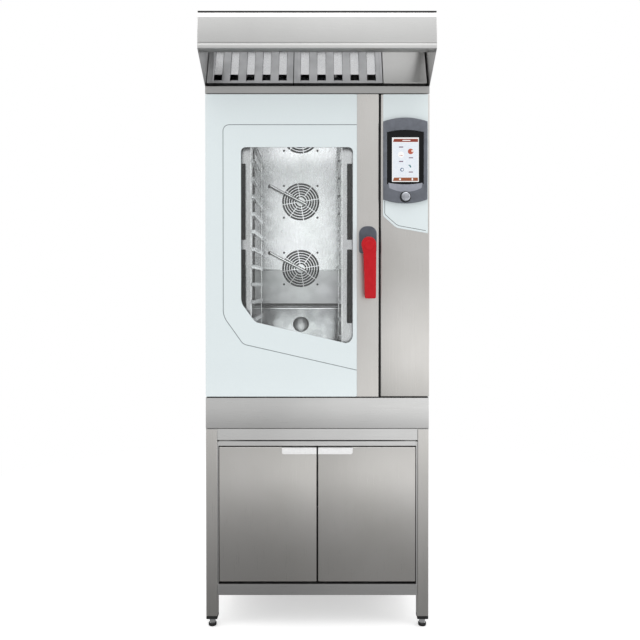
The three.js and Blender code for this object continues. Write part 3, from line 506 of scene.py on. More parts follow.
def moulded(name, dark, light, rough, cell=0.8, depth=0.02, **values):
    """An injection moulded plastic with a fine spark-eroded grain. The grain is about 0.1 mm and is drawn
    coarser so that it shows."""
    material, tree, shader = finish(name, IOR=1.46, **values)
    pits = grain(tree, (cell, cell, cell), detail=2.0)
    clouds = grain(tree, (18, 18, 18))
    tree.links.new(tinted(tree, clouds, dark, light), shader.inputs["Base Color"])
    tree.links.new(between(tree, pits, rough - 0.05, rough + 0.05), shader.inputs["Roughness"])
    relief(tree, shader, pits, depth)
    return material


# Lever: ABS, glossy red, sucked in a little by moulding.
red_abs = moulded("moulded_red_abs", "#b40c18", "#c01620", 0.42, Specular_IOR_Level=0.25)
# Lever base: glass filled nylon, dark grey satin.
grey_nylon = moulded("moulded_grey_nylon", "#4b5059", "#555a64", 0.42, cell=1.0, depth=0.03)
# Feet and gland: black nylon.
black_nylon = moulded("moulded_black_nylon", "#161616", "#1f1f20", 0.48, cell=1.0, depth=0.03)
# Bezel: ABS with a metallic grey paint.
bezel_paint = moulded("metallic_grey_paint", "#666a72", "#71757e", 0.34, cell=0.6, depth=0.006,
                      Metallic=0.6, Coat_Weight=0.4, Coat_Roughness=0.15)
# The crescent below the screen: the same paint made lighter, a painted highlight where its scoop faces the light.
crescent_paint = moulded("grey_paint_painted_highlight", "#9598a3", "#a2a5af", 0.36, cell=0.6, depth=0.006,
                         Metallic=0.4, Coat_Weight=0.3, Coat_Roughness=0.15)
# Door gasket: black silicone, matte and dusty.
silicone = moulded("black_silicone", "#131313", "#1c1c1c", 0.62, cell=2.0, depth=0.05)
# Printed lines on glass: dark enamel.
line_enamel = moulded("dark_line_enamel", "#5c6468", "#666e72", 0.3, cell=1.0, depth=0.0)


def screen_glass():
    """Black printed cover glass of a display, with a coating against reflections."""
    material, tree, shader = finish("black_cover_glass", IOR=1.5, Specular_IOR_Level=0.2)
    smears = grain(tree, (14, 14, 30), detail=3.0)
    tree.links.new(tinted(tree, smears, "#0d0e10", "#121316"), shader.inputs["Base Color"])
    tree.links.new(between(tree, smears, 0.08, 0.2), shader.inputs["Roughness"])
    return material


def lit(name, dark, light):
    """A lit area of a display behind its cover glass, with the panel's slight mottle."""
    material, tree, shader = finish(name, Base_Color=colour("#08090a"), Roughness=0.15, Emission_Strength=0.95)
    mottle = grain(tree, (4, 4, 4), detail=1.0)
    tree.links.new(tinted(tree, mottle, dark, light), shader.inputs["Emission Color"])
    return material


def satin_aluminium():
    """Turned and anodised aluminium: fine rings from the tool around the knob's axis, satin silver."""
    material, tree, shader = finish("turned_anodised_aluminium", Metallic=1.0)
    place = node(tree, "ShaderNodeTexCoord").outputs["Object"]
    axis = (-SELECTOR[0] * MM, 0, -SELECTOR[1] * MM)
    centred = node(tree, "ShaderNodeMapping", {"Vector": place, "Location": axis})
    wave = {"Vector": centred.outputs["Vector"], "Scale": 1 / (1.6 * MM * 2 * math.pi), "Distortion": 0.4}
    rings = node(tree, "ShaderNodeTexWave", wave, wave_type="RINGS", rings_direction="Y").outputs["Fac"]
    tree.links.new(tinted(tree, rings, "#a9acb4", "#bfc2c8"), shader.inputs["Base Color"])
    tree.links.new(between(tree, rings, 0.24, 0.34), shader.inputs["Roughness"])
    return material


def zinc_plate():
    """Zinc plated steel: dull blue grey spangles about 6 mm across."""
    material, tree, shader = finish("zinc_plated_steel", Metallic=1.0)
    place = node(tree, "ShaderNodeTexCoord").outputs["Object"]
    spangle = node(tree, "ShaderNodeTexVoronoi", {"Vector": place, "Scale": 1 / (6 * MM)}).outputs["Distance"]
    tree.links.new(tinted(tree, spangle, "#8f9396", "#a8abad"), shader.inputs["Base Color"])
    tree.links.new(between(tree, spangle, 0.35, 0.5), shader.inputs["Roughness"])
    return material


def cast_aluminium():
    """Die cast aluminium motor housings: grainy, dull silver."""
    material, tree, shader = finish("die_cast_aluminium", Metallic=1.0)
    pores = grain(tree, (1.5, 1.5, 1.5), detail=4.0, rough=0.7)
    tree.links.new(tinted(tree, pores, "#8f9295", "#a3a6a8"), shader.inputs["Base Color"])
    tree.links.new(between(tree, pores, 0.45, 0.62), shader.inputs["Roughness"])
    relief(tree, shader, pores, 0.08)
    return material


def heater_sheath():
    """Nickel alloy heater sheath, tanned by heat in bands."""
    material, tree, shader = finish("heat_tinted_nickel_alloy", Metallic=1.0)
    bands = grain(tree, (30, 30, 45), detail=3.0)
    tree.links.new(tinted(tree, bands, "#5a544d", "#7b7167"), shader.inputs["Base Color"])
    tree.links.new(between(tree, bands, 0.35, 0.5), shader.inputs["Roughness"])
    return material


def solder_mask():
    """Glass epoxy board under green solder mask, with a faint weave about 1 mm apart."""
    material, tree, shader = finish("green_solder_mask", Roughness=0.35)
    weave = grain(tree, (1, 1, 12), detail=1.0)
    tree.links.new(tinted(tree, weave, "#174d33", "#1f6341"), shader.inputs["Base Color"])
    return material


pale_steel = pickled_stainless()
enamelled = printed_glass()
clear = clear_glass()
cover_glass = screen_glass()
aluminium = satin_aluminium()
zinc = zinc_plate()
casting = cast_aluminium()
sheath = heater_sheath()
board = solder_mask()

CAD_FINISHES = {
    stainless_upright: ["leg_front_left", "leg_front_right", "leg_rear_left", "leg_rear_right", "front_frame"],
    satin_steel: ["door_frame"],
    stainless_across: ["stand_deck", "bottom_shelf", "cabinet_shell", "top_panel", "rear_panel"],
    stainless_deep: ["side_panel_left", "side_panel_right"],
    liner_steel: ["cavity_liner"],
    fan_steel: ["fan_wheel_1", "fan_wheel_2", "fan_wheel_3"],
    bright_steel: ["flue_pipe"],
    sheath: ["heating_element"],
    casting: ["fan_motor_1", "fan_motor_2", "fan_motor_3"],
    clear: ["door_inner_glass"],
    zinc: ["latch_hook", "door_hinge_top", "door_hinge_bottom", "selector_shaft", "extractor_fan"],
    silicone: ["door_gasket"],
    board: ["controller_board"],
}
for material, names in CAD_FINISHES.items():
    for name in names:
        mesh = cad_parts[name].data
        mesh.materials.clear()
        mesh.materials.append(material)

# ---- stand ----

FOOT_PAD = [(0, 0), (11.5, 0), (13.6, 0.9), (14.5, 3), (14.5, 9.4), (13.9, 10.6), (12.6, 11), (0, 11)]
FOOT_STEM = [(0, 11), (11.4, 11), (11.4, 12.4), (10.6, 13), (10.6, 27.6), (11.4, 28.2), (11.4, 29), (0, 29)]
for end, y in (("front", -348.0), ("rear", 458.0)):
    for side_name, x in (("left", -379.0), ("right", 379.0)):
        cap = block((x - 20, x + 20), (y - 20, y + 20), (29, 41), 2.4)
        pad = turned(FOOT_PAD, (x, y, 0))
        stem = painted(turned(FOOT_STEM, (x, y, 0)), 1)
        piece(f"levelling_foot_{end}_{side_name}", "housing", [black_nylon, bright_steel],
              [cap, pad, stem], [f"foot_{end}_{side_name}"])

for side_name, side in (("left", -1), ("right", 1)):
    door = pan((2.8, 352), (FRONT + 4, FRONT + 22), (165, 649), (0, 1, 0), bend=1.8, lip=20)
    # The pull's hem goes down behind the tab, over the door's top and down its face.
    tab = folded([(FRONT + 3.6, 628), (FRONT + 3.6, 649), (FRONT - 14, 649), (FRONT - 14, 628)], (3, 126),
                 bend=1.2, thickness=SHEET, corner=((126, FRONT - 14, 628), 7))
    if side < 0:
        door, tab = mirrored(door), mirrored(tab)
    piece(f"cabinet_door_pan_{side_name}", f"cabinet_door_{side_name}", [stainless_upright],
          [door], [f"cabinet_door_{side_name}"])
    piece(f"cabinet_pull_{side_name}", f"cabinet_door_{side_name}", [pale_steel],
          [tab], [f"door_pull_{side_name}"])

# ---- oven body ----

piece("plinth_tray", "housing", [stainless_across],
      [pan((-399.7, 399.7), (FRONT + 2, BACK - 2), (716, 826), (0, 0, 1), bend=2.2)], ["oven_plinth"])

# ---- oven door ----

# Black plates over the slots beside the window: painted shade for the dark seen through them.
slots = [plate(rectangle(across, up), (FRONT + 27.5, FRONT + 29.5), radii=3, edge=0.6)
         for across in ((-278.5, -259), (107.5, 126)) for up in ((1393, 1667), (1092, 1358))]
piece("window_slot_shade", "oven_door", [silicone], slots)

DOOR_GLASS = rounded(rectangle((1 - HALF, STILE_X[0] - 0.4), DOOR_Z), 3)
WINDOW = rounded([(-222, 1097.5), (110, 1020.3), (127, 1040.7), (127, 1721), (-272, 1721), (-272, 1166)],
                 [10, 12, 10, 16, 16, 16])
piece("door_glass_printed", "oven_door", [enamelled],
      [perforated([DOOR_GLASS, WINDOW], (FRONT, FRONT + 6))], ["door_outer_glass"])
piece("door_window_pane", "oven_door", [clear],
      [plate(WINDOW, (FRONT + 0.05, FRONT + 5.95))])

LINE = [(-265.5, 1017.5), (200, 911.2), (200, 1801.8), (-337, 1801.8), (-337, 1118.2)]


def print_line(points, radii, width, y, right, top):
    """A printed line along the inside of an outline, cut off at an X to the right and at a height."""
    part = flat(points, radii, 10)
    faces = part.faces[:]
    rim = bmesh.ops.inset_region(part, faces=faces, thickness=width, use_even_offset=True,
                                 use_boundary=True)["faces"]
    bmesh.ops.delete(part, geom=[f for f in part.faces if f not in rim], context="FACES")
    for place, normal in (((right, 0, 0), (1, 0, 0)), ((0, 0, top), (0, 0, 1))):
        cut(part, place, normal, clear=True)
    thicken(part, (y, y + 0.2), "XZ")
    return part


piece("door_printed_line", "oven_door", [line_enamel],
      [print_line(LINE, [12, 0, 0, 23, 20], 2.2, FRONT - 0.15, STILE_X[0] - 1, 1900)])

stile = folded([(STILE_X[0], FRONT), (STILE_X[1], FRONT), (STILE_X[1], FRONT + 52)], DOOR_Z, "Z", bend=3)
piece("stile_fold", "oven_door", [stainless_upright], [stile], ["handle_stile"])

rosette = plate(rectangle((149, 211), (1343, 1439)), (FRONT - 12, FRONT - 0.4), radii=[9, 9, 26, 26], edge=3)
piece("lever_base", "oven_door", [grey_nylon], [rosette], ["handle_rosette"])

HUB = (HANDLE[0], HANDLE[1] + 4)
crown = [(HUB[0] + 26 * math.cos(a), HUB[1] + 26 * math.sin(a)) for a in [math.pi * k / 16 for k in range(17)]]
foot = rounded([(205, 1340), (166, 1340), (166, 1183), (205, 1183)], [0, 0, 6, 6], 5)
low_end = [p for p in foot if p[1] < 1300]
outline = sorted(low_end, key=lambda p: p[0]) + [(206, HANDLE[1])]
outline += crown + [(154, HANDLE[1]), (161, HANDLE[1] - 28)]
arm = plate(outline, (FRONT - 62, FRONT - 42), edge=5, both=True)
spindle = (HANDLE[0], FRONT, HANDLE[1])
hub = turned([(0, -50), (22, -50), (22, -14), (20.5, -12.4), (0, -12.4)], spindle, "Y")
boss = turned([(0, -64), (14, -64), (15.6, -63.6), (17, -62.4), (17.4, -61), (0, -61)], spindle, "Y")
piece("lever_handle", "door_handle", [red_abs], [arm, hub, boss], ["handle_lever"])

# ---- control column ----

# A black block on the column's side fills the gap beside the door: painted shade for the shadow in that gap.
piece("column_gap_shade", "housing", [silicone],
      [block((221.6, 226.2), (FRONT + 1.5, FRONT + 30), (833, 1907), 1)])
piece("column_fold", "housing", [stainless_upright],
      [pan((COLUMN_X, HALF), (FRONT, FRONT + 61), DOOR_Z, (0, 1, 0), bend=2.5)], ["control_fascia"])

FASCIA = [(394, 1414), (394, 1908), (234, 1908), (234, 1476), (280.6, 1434)]
piece("column_glass", "housing", [enamelled],
      [plate(FASCIA, (FRONT - 3.4, FRONT - 0.4), radii=[3, 0, 0, 6, 10], edge=0.7)], ["fascia_glass"])
FASCIA_LINE = [(440, 1413), (440, 1900), (239, 1900), (239, 1482), (284.7, 1441)]
fascia_line = print_line(FASCIA_LINE, [0, 0, 0, 6, 10], 2.0, FRONT - 3.55, 386, 1530)
piece("column_printed_line", "housing", [line_enamel], [fascia_line])


def bowed(x, z, half_width, bow, steps=24):
    """An outline with straight sides and arched ends, centred on x."""
    radius = (half_width ** 2 + bow ** 2) / (2 * bow)
    half = math.asin(half_width / radius)
    angles = [half * (2 * i / steps - 1) for i in range(steps + 1)]
    low = [(x + radius * math.sin(a), z[0] - bow + radius - radius * math.cos(a)) for a in angles]
    high = [(x - radius * math.sin(a), z[1] + bow - radius + radius * math.cos(a)) for a in angles]
    return low + high


x, z = SELECTOR
rim = ring(bowed(x, (1534, 1809), 78.5, 14), bowed(x, (1588, 1771), 65, 7.9), (BEZEL_FRONT, FRONT - 3.8),
           edge=2.5)
piece("display_bezel", "housing", [bezel_paint], [rim], ["control_bezel"], sharp=25)
arc = [k / 12 - 1 for k in range(25)]
ledge = [(x + 61 * s, 1586 + 6 * s * s) for s in arc][::-1] + [(x + 57 * s, 1559.5 + 14 * s * s) for s in arc]
piece("display_ledge", "housing", [crescent_paint],
      [plate(ledge, (BEZEL_FRONT - 0.8, BEZEL_FRONT + 0.6), edge=0.6)])
piece("display_glass", "housing", [cover_glass],
      [plate(bowed(x, (1588.5, 1770.5), 64.6, 7.9), (SCREEN_FRONT, FRONT - 9.4))], ["touch_screen"])


def shown(name, material, outlines, rise):
    """Flat areas of the display's picture, stacked by their rise in millimetres."""
    parts = [plate(points, (SCREEN_FRONT - rise, SCREEN_FRONT - rise + 0.25)) for points in outlines]
    piece(name, "housing", [material], parts)


def bar(x, z, half, rise):
    """A flat bar centred on a point."""
    return rectangle((x - half, x + half), (z - rise, z + rise))


shown("display_border", lit("display_white", "#f4f5f6", "#fbfcfc"), [rectangle((265, 360), (1596, 1753))], 0.2)
shown("display_field", lit("display_pale_blue", "#e2eaf4", "#f0f4f9"),
      [rectangle((268, 357.5), (1611.5, 1735))], 0.35)
shown("display_header", lit("display_brick_red", "#883522", "#953d28"),
      [[(268, 1737), (357, 1737), (357, 1748), (272, 1748)]], 0.5)
shown("display_footer", lit("display_brown", "#93512f", "#a05a36"),
      [[(268, 1599), (357, 1599), (357, 1611), (272, 1611)]], 0.5)
shown("display_icons_white", lit("display_bright_white", "#fafafa", "#ffffff"),
      [circle((297, 1692), 11, 20), circle((293.5, 1605), 3.6, 12), bar(337, 1605, 2.4, 4),
       bar(316, 1742.5, 14, 1.4)], 0.65)
shown("display_icons_food", lit("display_terracotta", "#b0503a", "#c06248"),
      [circle((331, 1703.5), 10, 20), bar(297, 1689, 6, 1.0)], 0.65)
shown("display_icons_food_light", lit("display_cream", "#f0d9cf", "#f6e4dc"), [circle((337, 1705), 4, 12)], 0.8)
shown("display_icons_blue", lit("display_blue", "#39557f", "#45628c"), [circle((300.5, 1639), 6.6, 20)], 0.65)
shown("display_icons_blue_centre", lit("display_ice_white", "#eef4f8", "#f6fafc"),
      [circle((301.5, 1639), 4, 20)], 0.8)
shown("display_icons_teal", lit("display_teal", "#2f7076", "#3a7c82"),
      [[(325, 1655), (329, 1657), (334, 1648), (330, 1646)], bar(325, 1655, 3, 1)], 0.65)
shown("display_labels", lit("display_grey_violet", "#7d6478", "#8a7286"),
      [bar(297, 1719, 7.5, 2), bar(297, 1668, 7.5, 2), bar(332, 1681, 7.5, 1.8), bar(332, 1630.5, 7.5, 1.8)], 0.65)

knob = turned([(0, -0.5), (11.5, -0.5), (13, 0.2), (15.2, 1.2), (15.5, 2.4), (15.5, 14), (13, 14), (13, 10), (0, 10)],
              (x, BEZEL_FRONT - 16, z), "Y", 64)
piece("dial_knob", "selector_knob", [aluminium], [knob], ["selector_knob"])
# A black ring in the groove round the knob: painted shade for the shadow in its recess.
well = turned([(16.4, -0.8), (17.4, -1.6), (19, -1.6), (19.8, -0.8), (19.8, 0.4), (16.4, 0.4), (16.4, -0.8)],
              (x, BEZEL_FRONT, z), "Y", 64)
piece("dial_recess_shade", "housing", [black_nylon], [well])

# ---- inside the cavity ----


def slot_ring(centre, inner, outer, spokes, gap, turn, steps=5):
    """Curved slots between two radii, split by equal spokes that start at an angle."""
    slots = []
    for i in range(spokes):
        start, end = turn + 2 * math.pi * i / spokes, turn + 2 * math.pi * (i + 1) / spokes
        arcs = []
        for radius, way in ((outer, 1), (inner, -1)):
            edge = math.asin(gap / 2 / radius)
            angles = [start + edge + (end - start - 2 * edge) * k / steps for k in range(steps + 1)][::way]
            arcs += [(centre[0] + radius * math.cos(a), centre[1] + radius * math.sin(a)) for a in angles]
        slots.append(arcs)
    return slots


# Inner and outer radius of each ring of slots in front of a fan, and its number of slots.
GRILLE = ((20, 27, 4), (31, 38.6, 8), (42, 49.8, 8), (53, 61, 8), (64.4, 72.6, 8), (76, 84.6, 8))
baffle_x = (CAVITY_X[0] + 3, CAVITY_X[1] - 3)
outlines = [rectangle(baffle_x, BAFFLE_Z)]
for fan in FAN_Z:
    for inner, outer, spokes in GRILLE:
        outlines += slot_ring((FAN_X, fan), inner, outer, spokes, 3.4, 0.16)
    outlines.append(circle((RISER_X, fan + BRANCH_RISE), 9, 16))
baffle = perforated(outlines, (BAFFLE_Y, BAFFLE_Y + SHEET))
FOLD_Z = (1297.0, 1352.0)  # the top of the lower part, which is painted darker as shade, and the line of the fold above it
cut(baffle, (0, 0, FOLD_Z[0]), (0, 0, 1))
# Faces below the lower part's top take the darker steel, a painted shade for its dimmer reflection.
for face in baffle.faces:
    face.material_index = int(face.calc_center_median().z < FOLD_Z[0])
beads = [tube([(x0, BAFFLE_Y - 2, FOLD_Z[0]), (x1, BAFFLE_Y - 2, FOLD_Z[0])], 3.2)
         for x0, x1 in ((baffle_x[0] + 2, FAN_X - 90), (FAN_X + 90, baffle_x[1] - 2))]
beads += [block(span, (BAFFLE_Y - 1.4, BAFFLE_Y + 0.5), (FOLD_Z[1] - 1.5, FOLD_Z[1] + 1.5), 0.6)
          for span in ((baffle_x[0] + 2, FAN_X - 80), (FAN_X + 80, baffle_x[1] - 2))]
hems = [block((edge - side, edge), (BAFFLE_Y, BAFFLE_Y + 14), BAFFLE_Z)
        for edge, side in ((baffle_x[0] + SHEET, SHEET), (baffle_x[1], SHEET))]
SCREW = [(0, -2.6), (2.4, -2.4), (4.2, -1.4), (5, 0), (5, 0.2), (0, 0.2)]
screws = [turned(SCREW, (FAN_X + 76 * dx, BAFFLE_Y, fan + 72 * dz), "Y", 12)
          for fan in FAN_Z for dx in (-1, 1) for dz in (-1, 1)]
beads.append(tube([(baffle_x[0], BAFFLE_Y - 1, 1122), (baffle_x[1], BAFFLE_Y - 1, 1122)], 5))
foot_seal = painted(block(baffle_x, (BAFFLE_Y - 1, BAFFLE_Y + 6), (1134, 1145.5), 1), 2)
piece("slotted_fan_baffle", "housing", [satin_steel, dull_steel, black_nylon, bright_steel],
      [baffle, *hems, *[painted(bead, 3) for bead in beads], foot_seal, *[painted(screw, 2) for screw in screws]],
      ["fan_baffle"])

pipes = [tube([(RISER_X, BAFFLE_Y + 50, FAN_Z[0] + 50), (RISER_X, BAFFLE_Y + 50, 1987)], 8),
         tube([(RISER_X, BAFFLE_Y + 50, 1680), (RISER_X, BACK - 30, 1680)], 7)]
for fan in FAN_Z:
    z_in = fan + BRANCH_RISE
    reach = FAN_X + 26 - RISER_X
    path = [(RISER_X, BAFFLE_Y + 50, z_in), (RISER_X, BAFFLE_Y - 17, z_in), (RISER_X + 4, BAFFLE_Y - 17, z_in)]
    path += [(RISER_X + reach * s, BAFFLE_Y - 17, z_in - (BRANCH_RISE + 14) * s) for s in (0.15, 0.5, 1)]
    pipes.append(tube(path, 6.5))
piece("water_pipes", "housing", [bright_steel], pipes, ["water_manifold"])

for side_name, side in (("left", -1), ("right", 1)):
    parts = []
    for z_rail in RAIL_Z:
        inner, outer = RAIL_LIP, RAIL_LIP + 14
        path = [(inner, z_rail), (outer, z_rail), (outer, z_rail + 14), (inner, z_rail + 14)]
        parts.append(folded(path, RAIL_Y, "Y", bend=2.5))
    for y in (RAIL_Y[0] + 30, RAIL_Y[1] - 40):
        parts.append(block((RAIL_LIP + 14.1, RAIL_LIP + 19), (y - 8, y + 8), (RAIL_Z[0] - 20, RAIL_Z[-1] + 40), 1))
    if side < 0:
        parts = [mirrored(part) for part in parts]
    parts = [moved(part, (RAIL_MIDDLE, 0, 0)) for part in parts]
    piece(f"tray_rack_{side_name}", "housing", [bright_steel], parts, [f"rack_{side_name}"])

rise = math.atan2(RAMP_Z[1] - RAMP_Z[0], RAMP_RUN)
cap = turned([(0, 0.5), (36, 0.5), (36, 3), (33, 5.5), (28, 8), (12, 11), (0, 11.4)], (0, 0, 0))
cap = moved(cap, (DRAIN_X, FRONT + 630, sum(RAMP_Z) / 2), Matrix.Rotation(rise, 3, "X"))
piece("strainer_cap", "housing", [dull_steel], [cap], ["drain_strainer"])

# ---- hood ----

CHAMFER = (14.0, 23.0)
TILT = Matrix.Rotation(math.radians(-FILTER_TILT), 3, "X")
cheek = [(BACK, HOOD_Z[0]), (BACK, HOOD_Z[1]), (HOOD_FRONT + CHAMFER[0], HOOD_Z[1]),
         (HOOD_FRONT, HOOD_Z[1] - CHAMFER[1]), (HOOD_FRONT, HOOD_LIP), (FRONT, HOOD_BAND_TOP), (FRONT, HOOD_Z[0])]
hood = [plate(cheek[::-1], (HALF - SHEET, HALF), "YZ", edge=0.6),
        mirrored(plate(cheek[::-1], (HALF - SHEET, HALF), "YZ", edge=0.6))]
hood.append(perforated([rectangle((SHEET - HALF, HALF - SHEET), (HOOD_FRONT + CHAMFER[0], BACK - SHEET)),
                        circle(DUCT, 74, 48)], (HOOD_Z[1] - SHEET, HOOD_Z[1]), "XY"))
hood.append(perforated([rectangle((SHEET - HALF, HALF - SHEET), (FRONT + 2, BACK - SHEET)),
                        rectangle((CAVITY_X[0] - 4, CAVITY_X[1] + 4), (DOME[0] - 4, BACK - 14))],
                       (HOOD_Z[0], HOOD_Z[0] + SHEET), "XY"))
hood.append(plate(rectangle((SHEET - HALF, HALF - SHEET), HOOD_Z), (BACK - SHEET, BACK)))
front_path = [(HOOD_FRONT + CHAMFER[0], HOOD_Z[1]), (HOOD_FRONT, HOOD_Z[1] - CHAMFER[1]), (HOOD_FRONT, 2041),
              (HOOD_FRONT + 4, 2038), (HOOD_FRONT, 2034), (HOOD_FRONT, HOOD_LIP), (HOOD_FRONT + 40, HOOD_LIP)]
hood.append(folded(front_path, (SHEET - HALF, HALF - SHEET), bend=1.5))
# The band takes the second, darker steel as painted shade under the canopy.
band = folded([(FRONT + 13, HOOD_BAND_TOP), (FRONT, HOOD_BAND_TOP), (FRONT, HOOD_Z[0])],
              (SHEET - HALF, HALF - SHEET), bend=1.5)
piece("hood_canopy_folded", "housing", [stainless_across, stainless_shaded], [*hood, painted(band, 1)],
      ["hood_canopy"])
# Black strips as painted shadow gaps along the top of the front and down the gap between the filters.
trim = [block((-HALF, HALF), (HOOD_FRONT + 9.6, HOOD_FRONT + CHAMFER[0]), (HOOD_Z[1] - 4.6, HOOD_Z[1]), 0.5),
        moved(block((-87, -84), (1, 12), (2, FILTER_LENGTH - 2)), FILTER_FOOT, TILT)]
piece("hood_shadow_gap_strips", "housing", [silicone], trim)


def baffle_filter(width, start, gaps=5, border=9.0, depth=18.0):
    """A frame with a front row of folded baffles, and a shorter row behind that covers the gaps between them."""
    outline = [rounded(rectangle((0, width), (0, FILTER_LENGTH)), 2, 2),
               rectangle((border, width - border), (border, FILTER_LENGTH - border))]
    parts = [perforated(outline, (0, depth))]
    pitch = (width - 2 * border) / gaps
    for i in range(gaps + 1):
        x = border + pitch * i
        left, right = max(x - 15, border - 2), min(x + 15, width - border + 2)
        front = [(left, 9), (left, 1), (right, 1), (right, 9)]
        parts.append(folded(front, (border - 5, FILTER_LENGTH - border + 2), "Z", bend=3, thickness=1))
        if i < gaps:
            rear = [(x + pitch - 7, 6), (x + pitch - 7, 14), (x + 7, 14), (x + 7, 6)]
            rear_strip = folded(rear, (border + 42, FILTER_LENGTH - border + 2), "Z", bend=3, thickness=1)
            parts.append(painted(rear_strip, 1))
            parts.append(block((x + 7, x + pitch - 7), (12, 14), (border - 2, border + 14), 0.5))
    return [moved(moved(part, (start, 0, 0)), FILTER_FOOT, TILT) for part in parts]


# Frame and front strips in the darker steel, rear strips in the lighter: painted shade and painted light on one sheet.
for side_name, width, start in (("left", 309, -396), ("right", 318, -84)):
    piece(f"baffle_filter_{side_name}", "housing", [dull_steel, satin_steel],
          baffle_filter(width, start), [f"hood_filter_{side_name}"])
cover = pan((237, 393), (0, 14), (0, FILTER_LENGTH), (0, 1, 0), bend=2)
piece("hood_blank_panel", "housing", [stainless_across], [moved(cover, FILTER_FOOT, TILT)],
      ["hood_cover_panel"])

collar = [(72.5, 0.4), (92, 0.4), (92, 2), (74.6, 2), (74, 3), (74, 32), (74.8, 34), (74, 36), (74, 40), (72.5, 40),
          (72.5, 0.4)]
piece("duct_spigot", "housing", [zinc], [turned(collar, (*DUCT, HOOD_Z[1]), steps=72)],
      ["duct_collar"])

# ---- back ----

outlet = turned([(20, -60), (24, -60), (24, 37), (23.4, 38), (20.6, 38), (20, 37), (20, -60)],
                (DRAIN_X, BACK, DRAIN_Z), "Y")
bend = tube([(DRAIN_X, FRONT + 638, 1044), (DRAIN_X, FRONT + 690, 1030), (DRAIN_X, FRONT + 735, 950),
             (DRAIN_X, FRONT + 760, DRAIN_Z), (DRAIN_X, BACK - 62, DRAIN_Z)], 24, 8)
piece("drain_bend", "housing", [bright_steel], [outlet, bend], ["drain_pipe"])
gland = turned([(0, -12), (10, -12), (10, 0.4), (15, 0.4), (15, 10), (14, 12), (10, 24), (9, 25), (6, 25), (6, 14),
                (0, 14)], (300, BACK, 905), "Y", 32)
piece("supply_gland", "housing", [black_nylon], [gland], ["cable_gland"])

# ---- studio ----


def ramp(tree, value, stops, low, high):
    """A grey level that follows a value through (value, level) stops."""
    share = node(tree, "ShaderNodeMapRange", {"Value": value, "From Min": low, "From Max": high}).outputs["Result"]
    made = node(tree, "ShaderNodeValToRGB", {"Fac": share})
    marks = made.color_ramp.elements
    for number, (place, level) in enumerate(stops):
        spot = (place - low) / (high - low)
        mark = marks[0] if number == 0 else marks[-1] if number == len(stops) - 1 else marks.new(spot)
        mark.position = spot
        mark.color = (level, level, level, 1)
    return made.outputs["Color"]


# The floor fades into the white backdrop. Metal sees it dark close by and light far off, like a studio's floor.
stage_floor, floor_tree, floor_shader = finish("pale_studio_floor", Base_Color=colour("#f6f6f6"), Roughness=0.8,
                                               Emission_Color=(1, 1, 1, 1), Emission_Strength=0.42)
floor_place = node(floor_tree, "ShaderNodeTexCoord").outputs["Object"]
floor_reach = node(floor_tree, "ShaderNodeVectorMath", {0: floor_place}, operation="LENGTH").outputs["Value"]
floor_path = node(floor_tree, "ShaderNodeLightPath")
reach_stops = [(0.0, 0.2), (0.9, 0.25), (2.2, 0.5), (3.2, 0.92), (4.2, 1.3), (5.5, 1.2), (7.5, 0.72), (9.0, 0.7)]
glossy_floor = ramp(floor_tree, floor_reach, reach_stops, 0.0, 9.0)
floor_side = node(floor_tree, "ShaderNodeSeparateXYZ", {"Vector": floor_place}).outputs["X"]
side_stops = [(-2.0, 0.7), (-0.25, 0.85), (0.0, 1.0), (0.25, 1.14), (2.0, 1.2)]
floor_across = ramp(floor_tree, floor_side, side_stops, -2.0, 2.0)
glossy_floor = mixed(floor_tree, 1.0, glossy_floor, floor_across, "MULTIPLY")
glow = node(floor_tree, "ShaderNodeEmission",
            {"Color": mixed(floor_tree, floor_path.outputs["Is Glossy Ray"], (1, 1, 1, 1), glossy_floor)})
far = node(floor_tree, "ShaderNodeMapRange", {"Value": floor_reach, "From Min": 0.7, "From Max": 2.6}).outputs["Result"]
whole = node(floor_tree, "ShaderNodeMath", {0: far, 1: floor_path.outputs["Is Glossy Ray"]}, operation="MAXIMUM")
floor_mix = node(floor_tree, "ShaderNodeMixShader", {0: whole.outputs["Value"], 1: floor_shader.outputs["BSDF"],
                                                     2: glow.outputs["Emission"]})
floor_tree.links.new(floor_mix.outputs["Shader"], floor_tree.nodes["Material Output"].inputs["Surface"])
ground = bmesh.new()
bmesh.ops.create_grid(ground, x_segments=1, y_segments=1, size=9)
floor_mesh = bpy.data.meshes.new("studio_floor")
ground.to_mesh(floor_mesh)
ground.free()
floor_mesh.materials.append(stage_floor)
floor = bpy.data.objects.new("studio_floor", floor_mesh)
bpy.context.scene.collection.objects.link(floor)

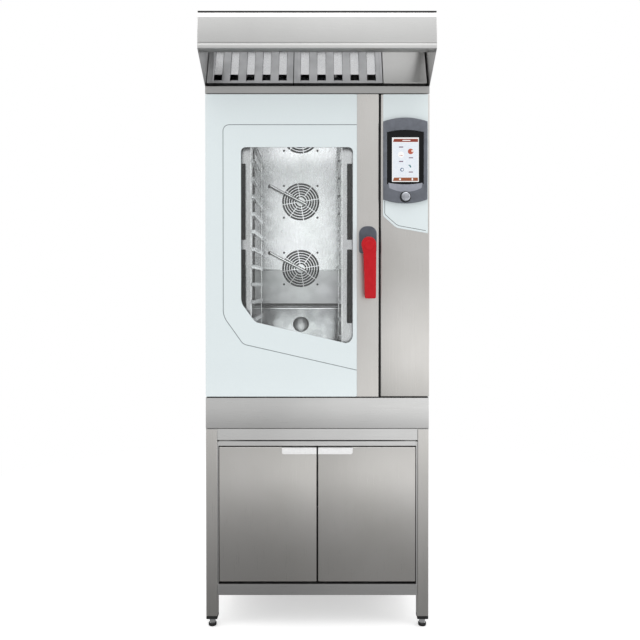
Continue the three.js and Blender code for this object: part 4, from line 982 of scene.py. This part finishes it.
world = bpy.data.worlds.new("studio")
bpy.context.scene.world = world
world.use_nodes = True
sky = world.node_tree
sky.nodes.clear()
way = node(sky, "ShaderNodeSeparateXYZ", {"Vector": node(sky, "ShaderNodeTexCoord").outputs["Generated"]})
sky_path = node(sky, "ShaderNodeLightPath")
sky_stops = [(-1.0, 0.3), (-0.2, 0.9), (-0.08, 0.62), (0.04, 0.55), (0.14, 0.66), (0.3, 0.86), (1.0, 1.1)]
mirrored_sky = ramp(sky, way.outputs["Z"], sky_stops, -1.0, 1.0)
across = ramp(sky, way.outputs["X"], [(-1.0, 0.8), (-0.2, 0.88), (0.0, 1.0), (0.2, 1.1), (1.0, 1.0)], -1.0, 1.0)
mirrored_sky = mixed(sky, 1.0, mirrored_sky, across, "MULTIPLY")
tone = mixed(sky, sky_path.outputs["Is Glossy Ray"], (0.82, 0.82, 0.82, 1), mirrored_sky)
tone = mixed(sky, sky_path.outputs["Is Camera Ray"], tone, (1, 1, 1, 1))
backdrop = node(sky, "ShaderNodeBackground", {"Color": tone, "Strength": 1.0})
node(sky, "ShaderNodeOutputWorld", {"Surface": backdrop.outputs["Background"]})


def softbox(name, place, aim, width, height, power):
    """A soft rectangular light at a place, turned to a point, in metres and watts."""
    lamp = bpy.data.lights.new(name, "AREA")
    lamp.shape = "RECTANGLE"
    lamp.size, lamp.size_y, lamp.energy = width, height, power
    made = bpy.data.objects.new(name, lamp)
    made.location = place
    made.rotation_euler = (Vector(aim) - Vector(place)).to_track_quat("-Z", "Y").to_euler()
    made.visible_camera = False
    bpy.context.scene.collection.objects.link(made)


softbox("overhead_softbox", (0, -1.2, 3.9), (0, -0.1, 1.2), 3.0, 2.0, 24)
softbox("left_softbox", (-3.2, -1.6, 1.9), (0, -0.2, 1.2), 1.2, 2.4, 8)
softbox("right_softbox", (3.2, -1.6, 1.9), (0, -0.2, 1.2), 1.2, 2.4, 12)
softbox("hood_lamp", (0, -0.4, 2.138), (0, -0.4, 1.0), 0.76, 0.2, 0.24)
# The cavity's own lamps, as one even light behind the door.
softbox("cavity_lamps", (-0.076, -0.27, 1.43), (-0.076, 0.5, 1.43), 0.38, 0.84, 0.7)
softbox("upper_cavity_lamp", (-0.076, -0.22, 1.94), (-0.076, 0.3, 1.8), 0.38, 0.1, 0.22)

camera = bpy.data.objects.new("camera", bpy.data.cameras.new("camera"))
camera.location = (0.0096, -2.770, 1.233)
camera.rotation_euler = (math.radians(89.4), 0, 0)
camera.data.lens = 37.82
camera.data.shift_y = -0.045
camera.data.clip_start, camera.data.clip_end = 0.05, 60
bpy.context.scene.collection.objects.link(camera)
bpy.context.scene.camera = camera
bpy.context.scene.view_settings.view_transform = "Standard"
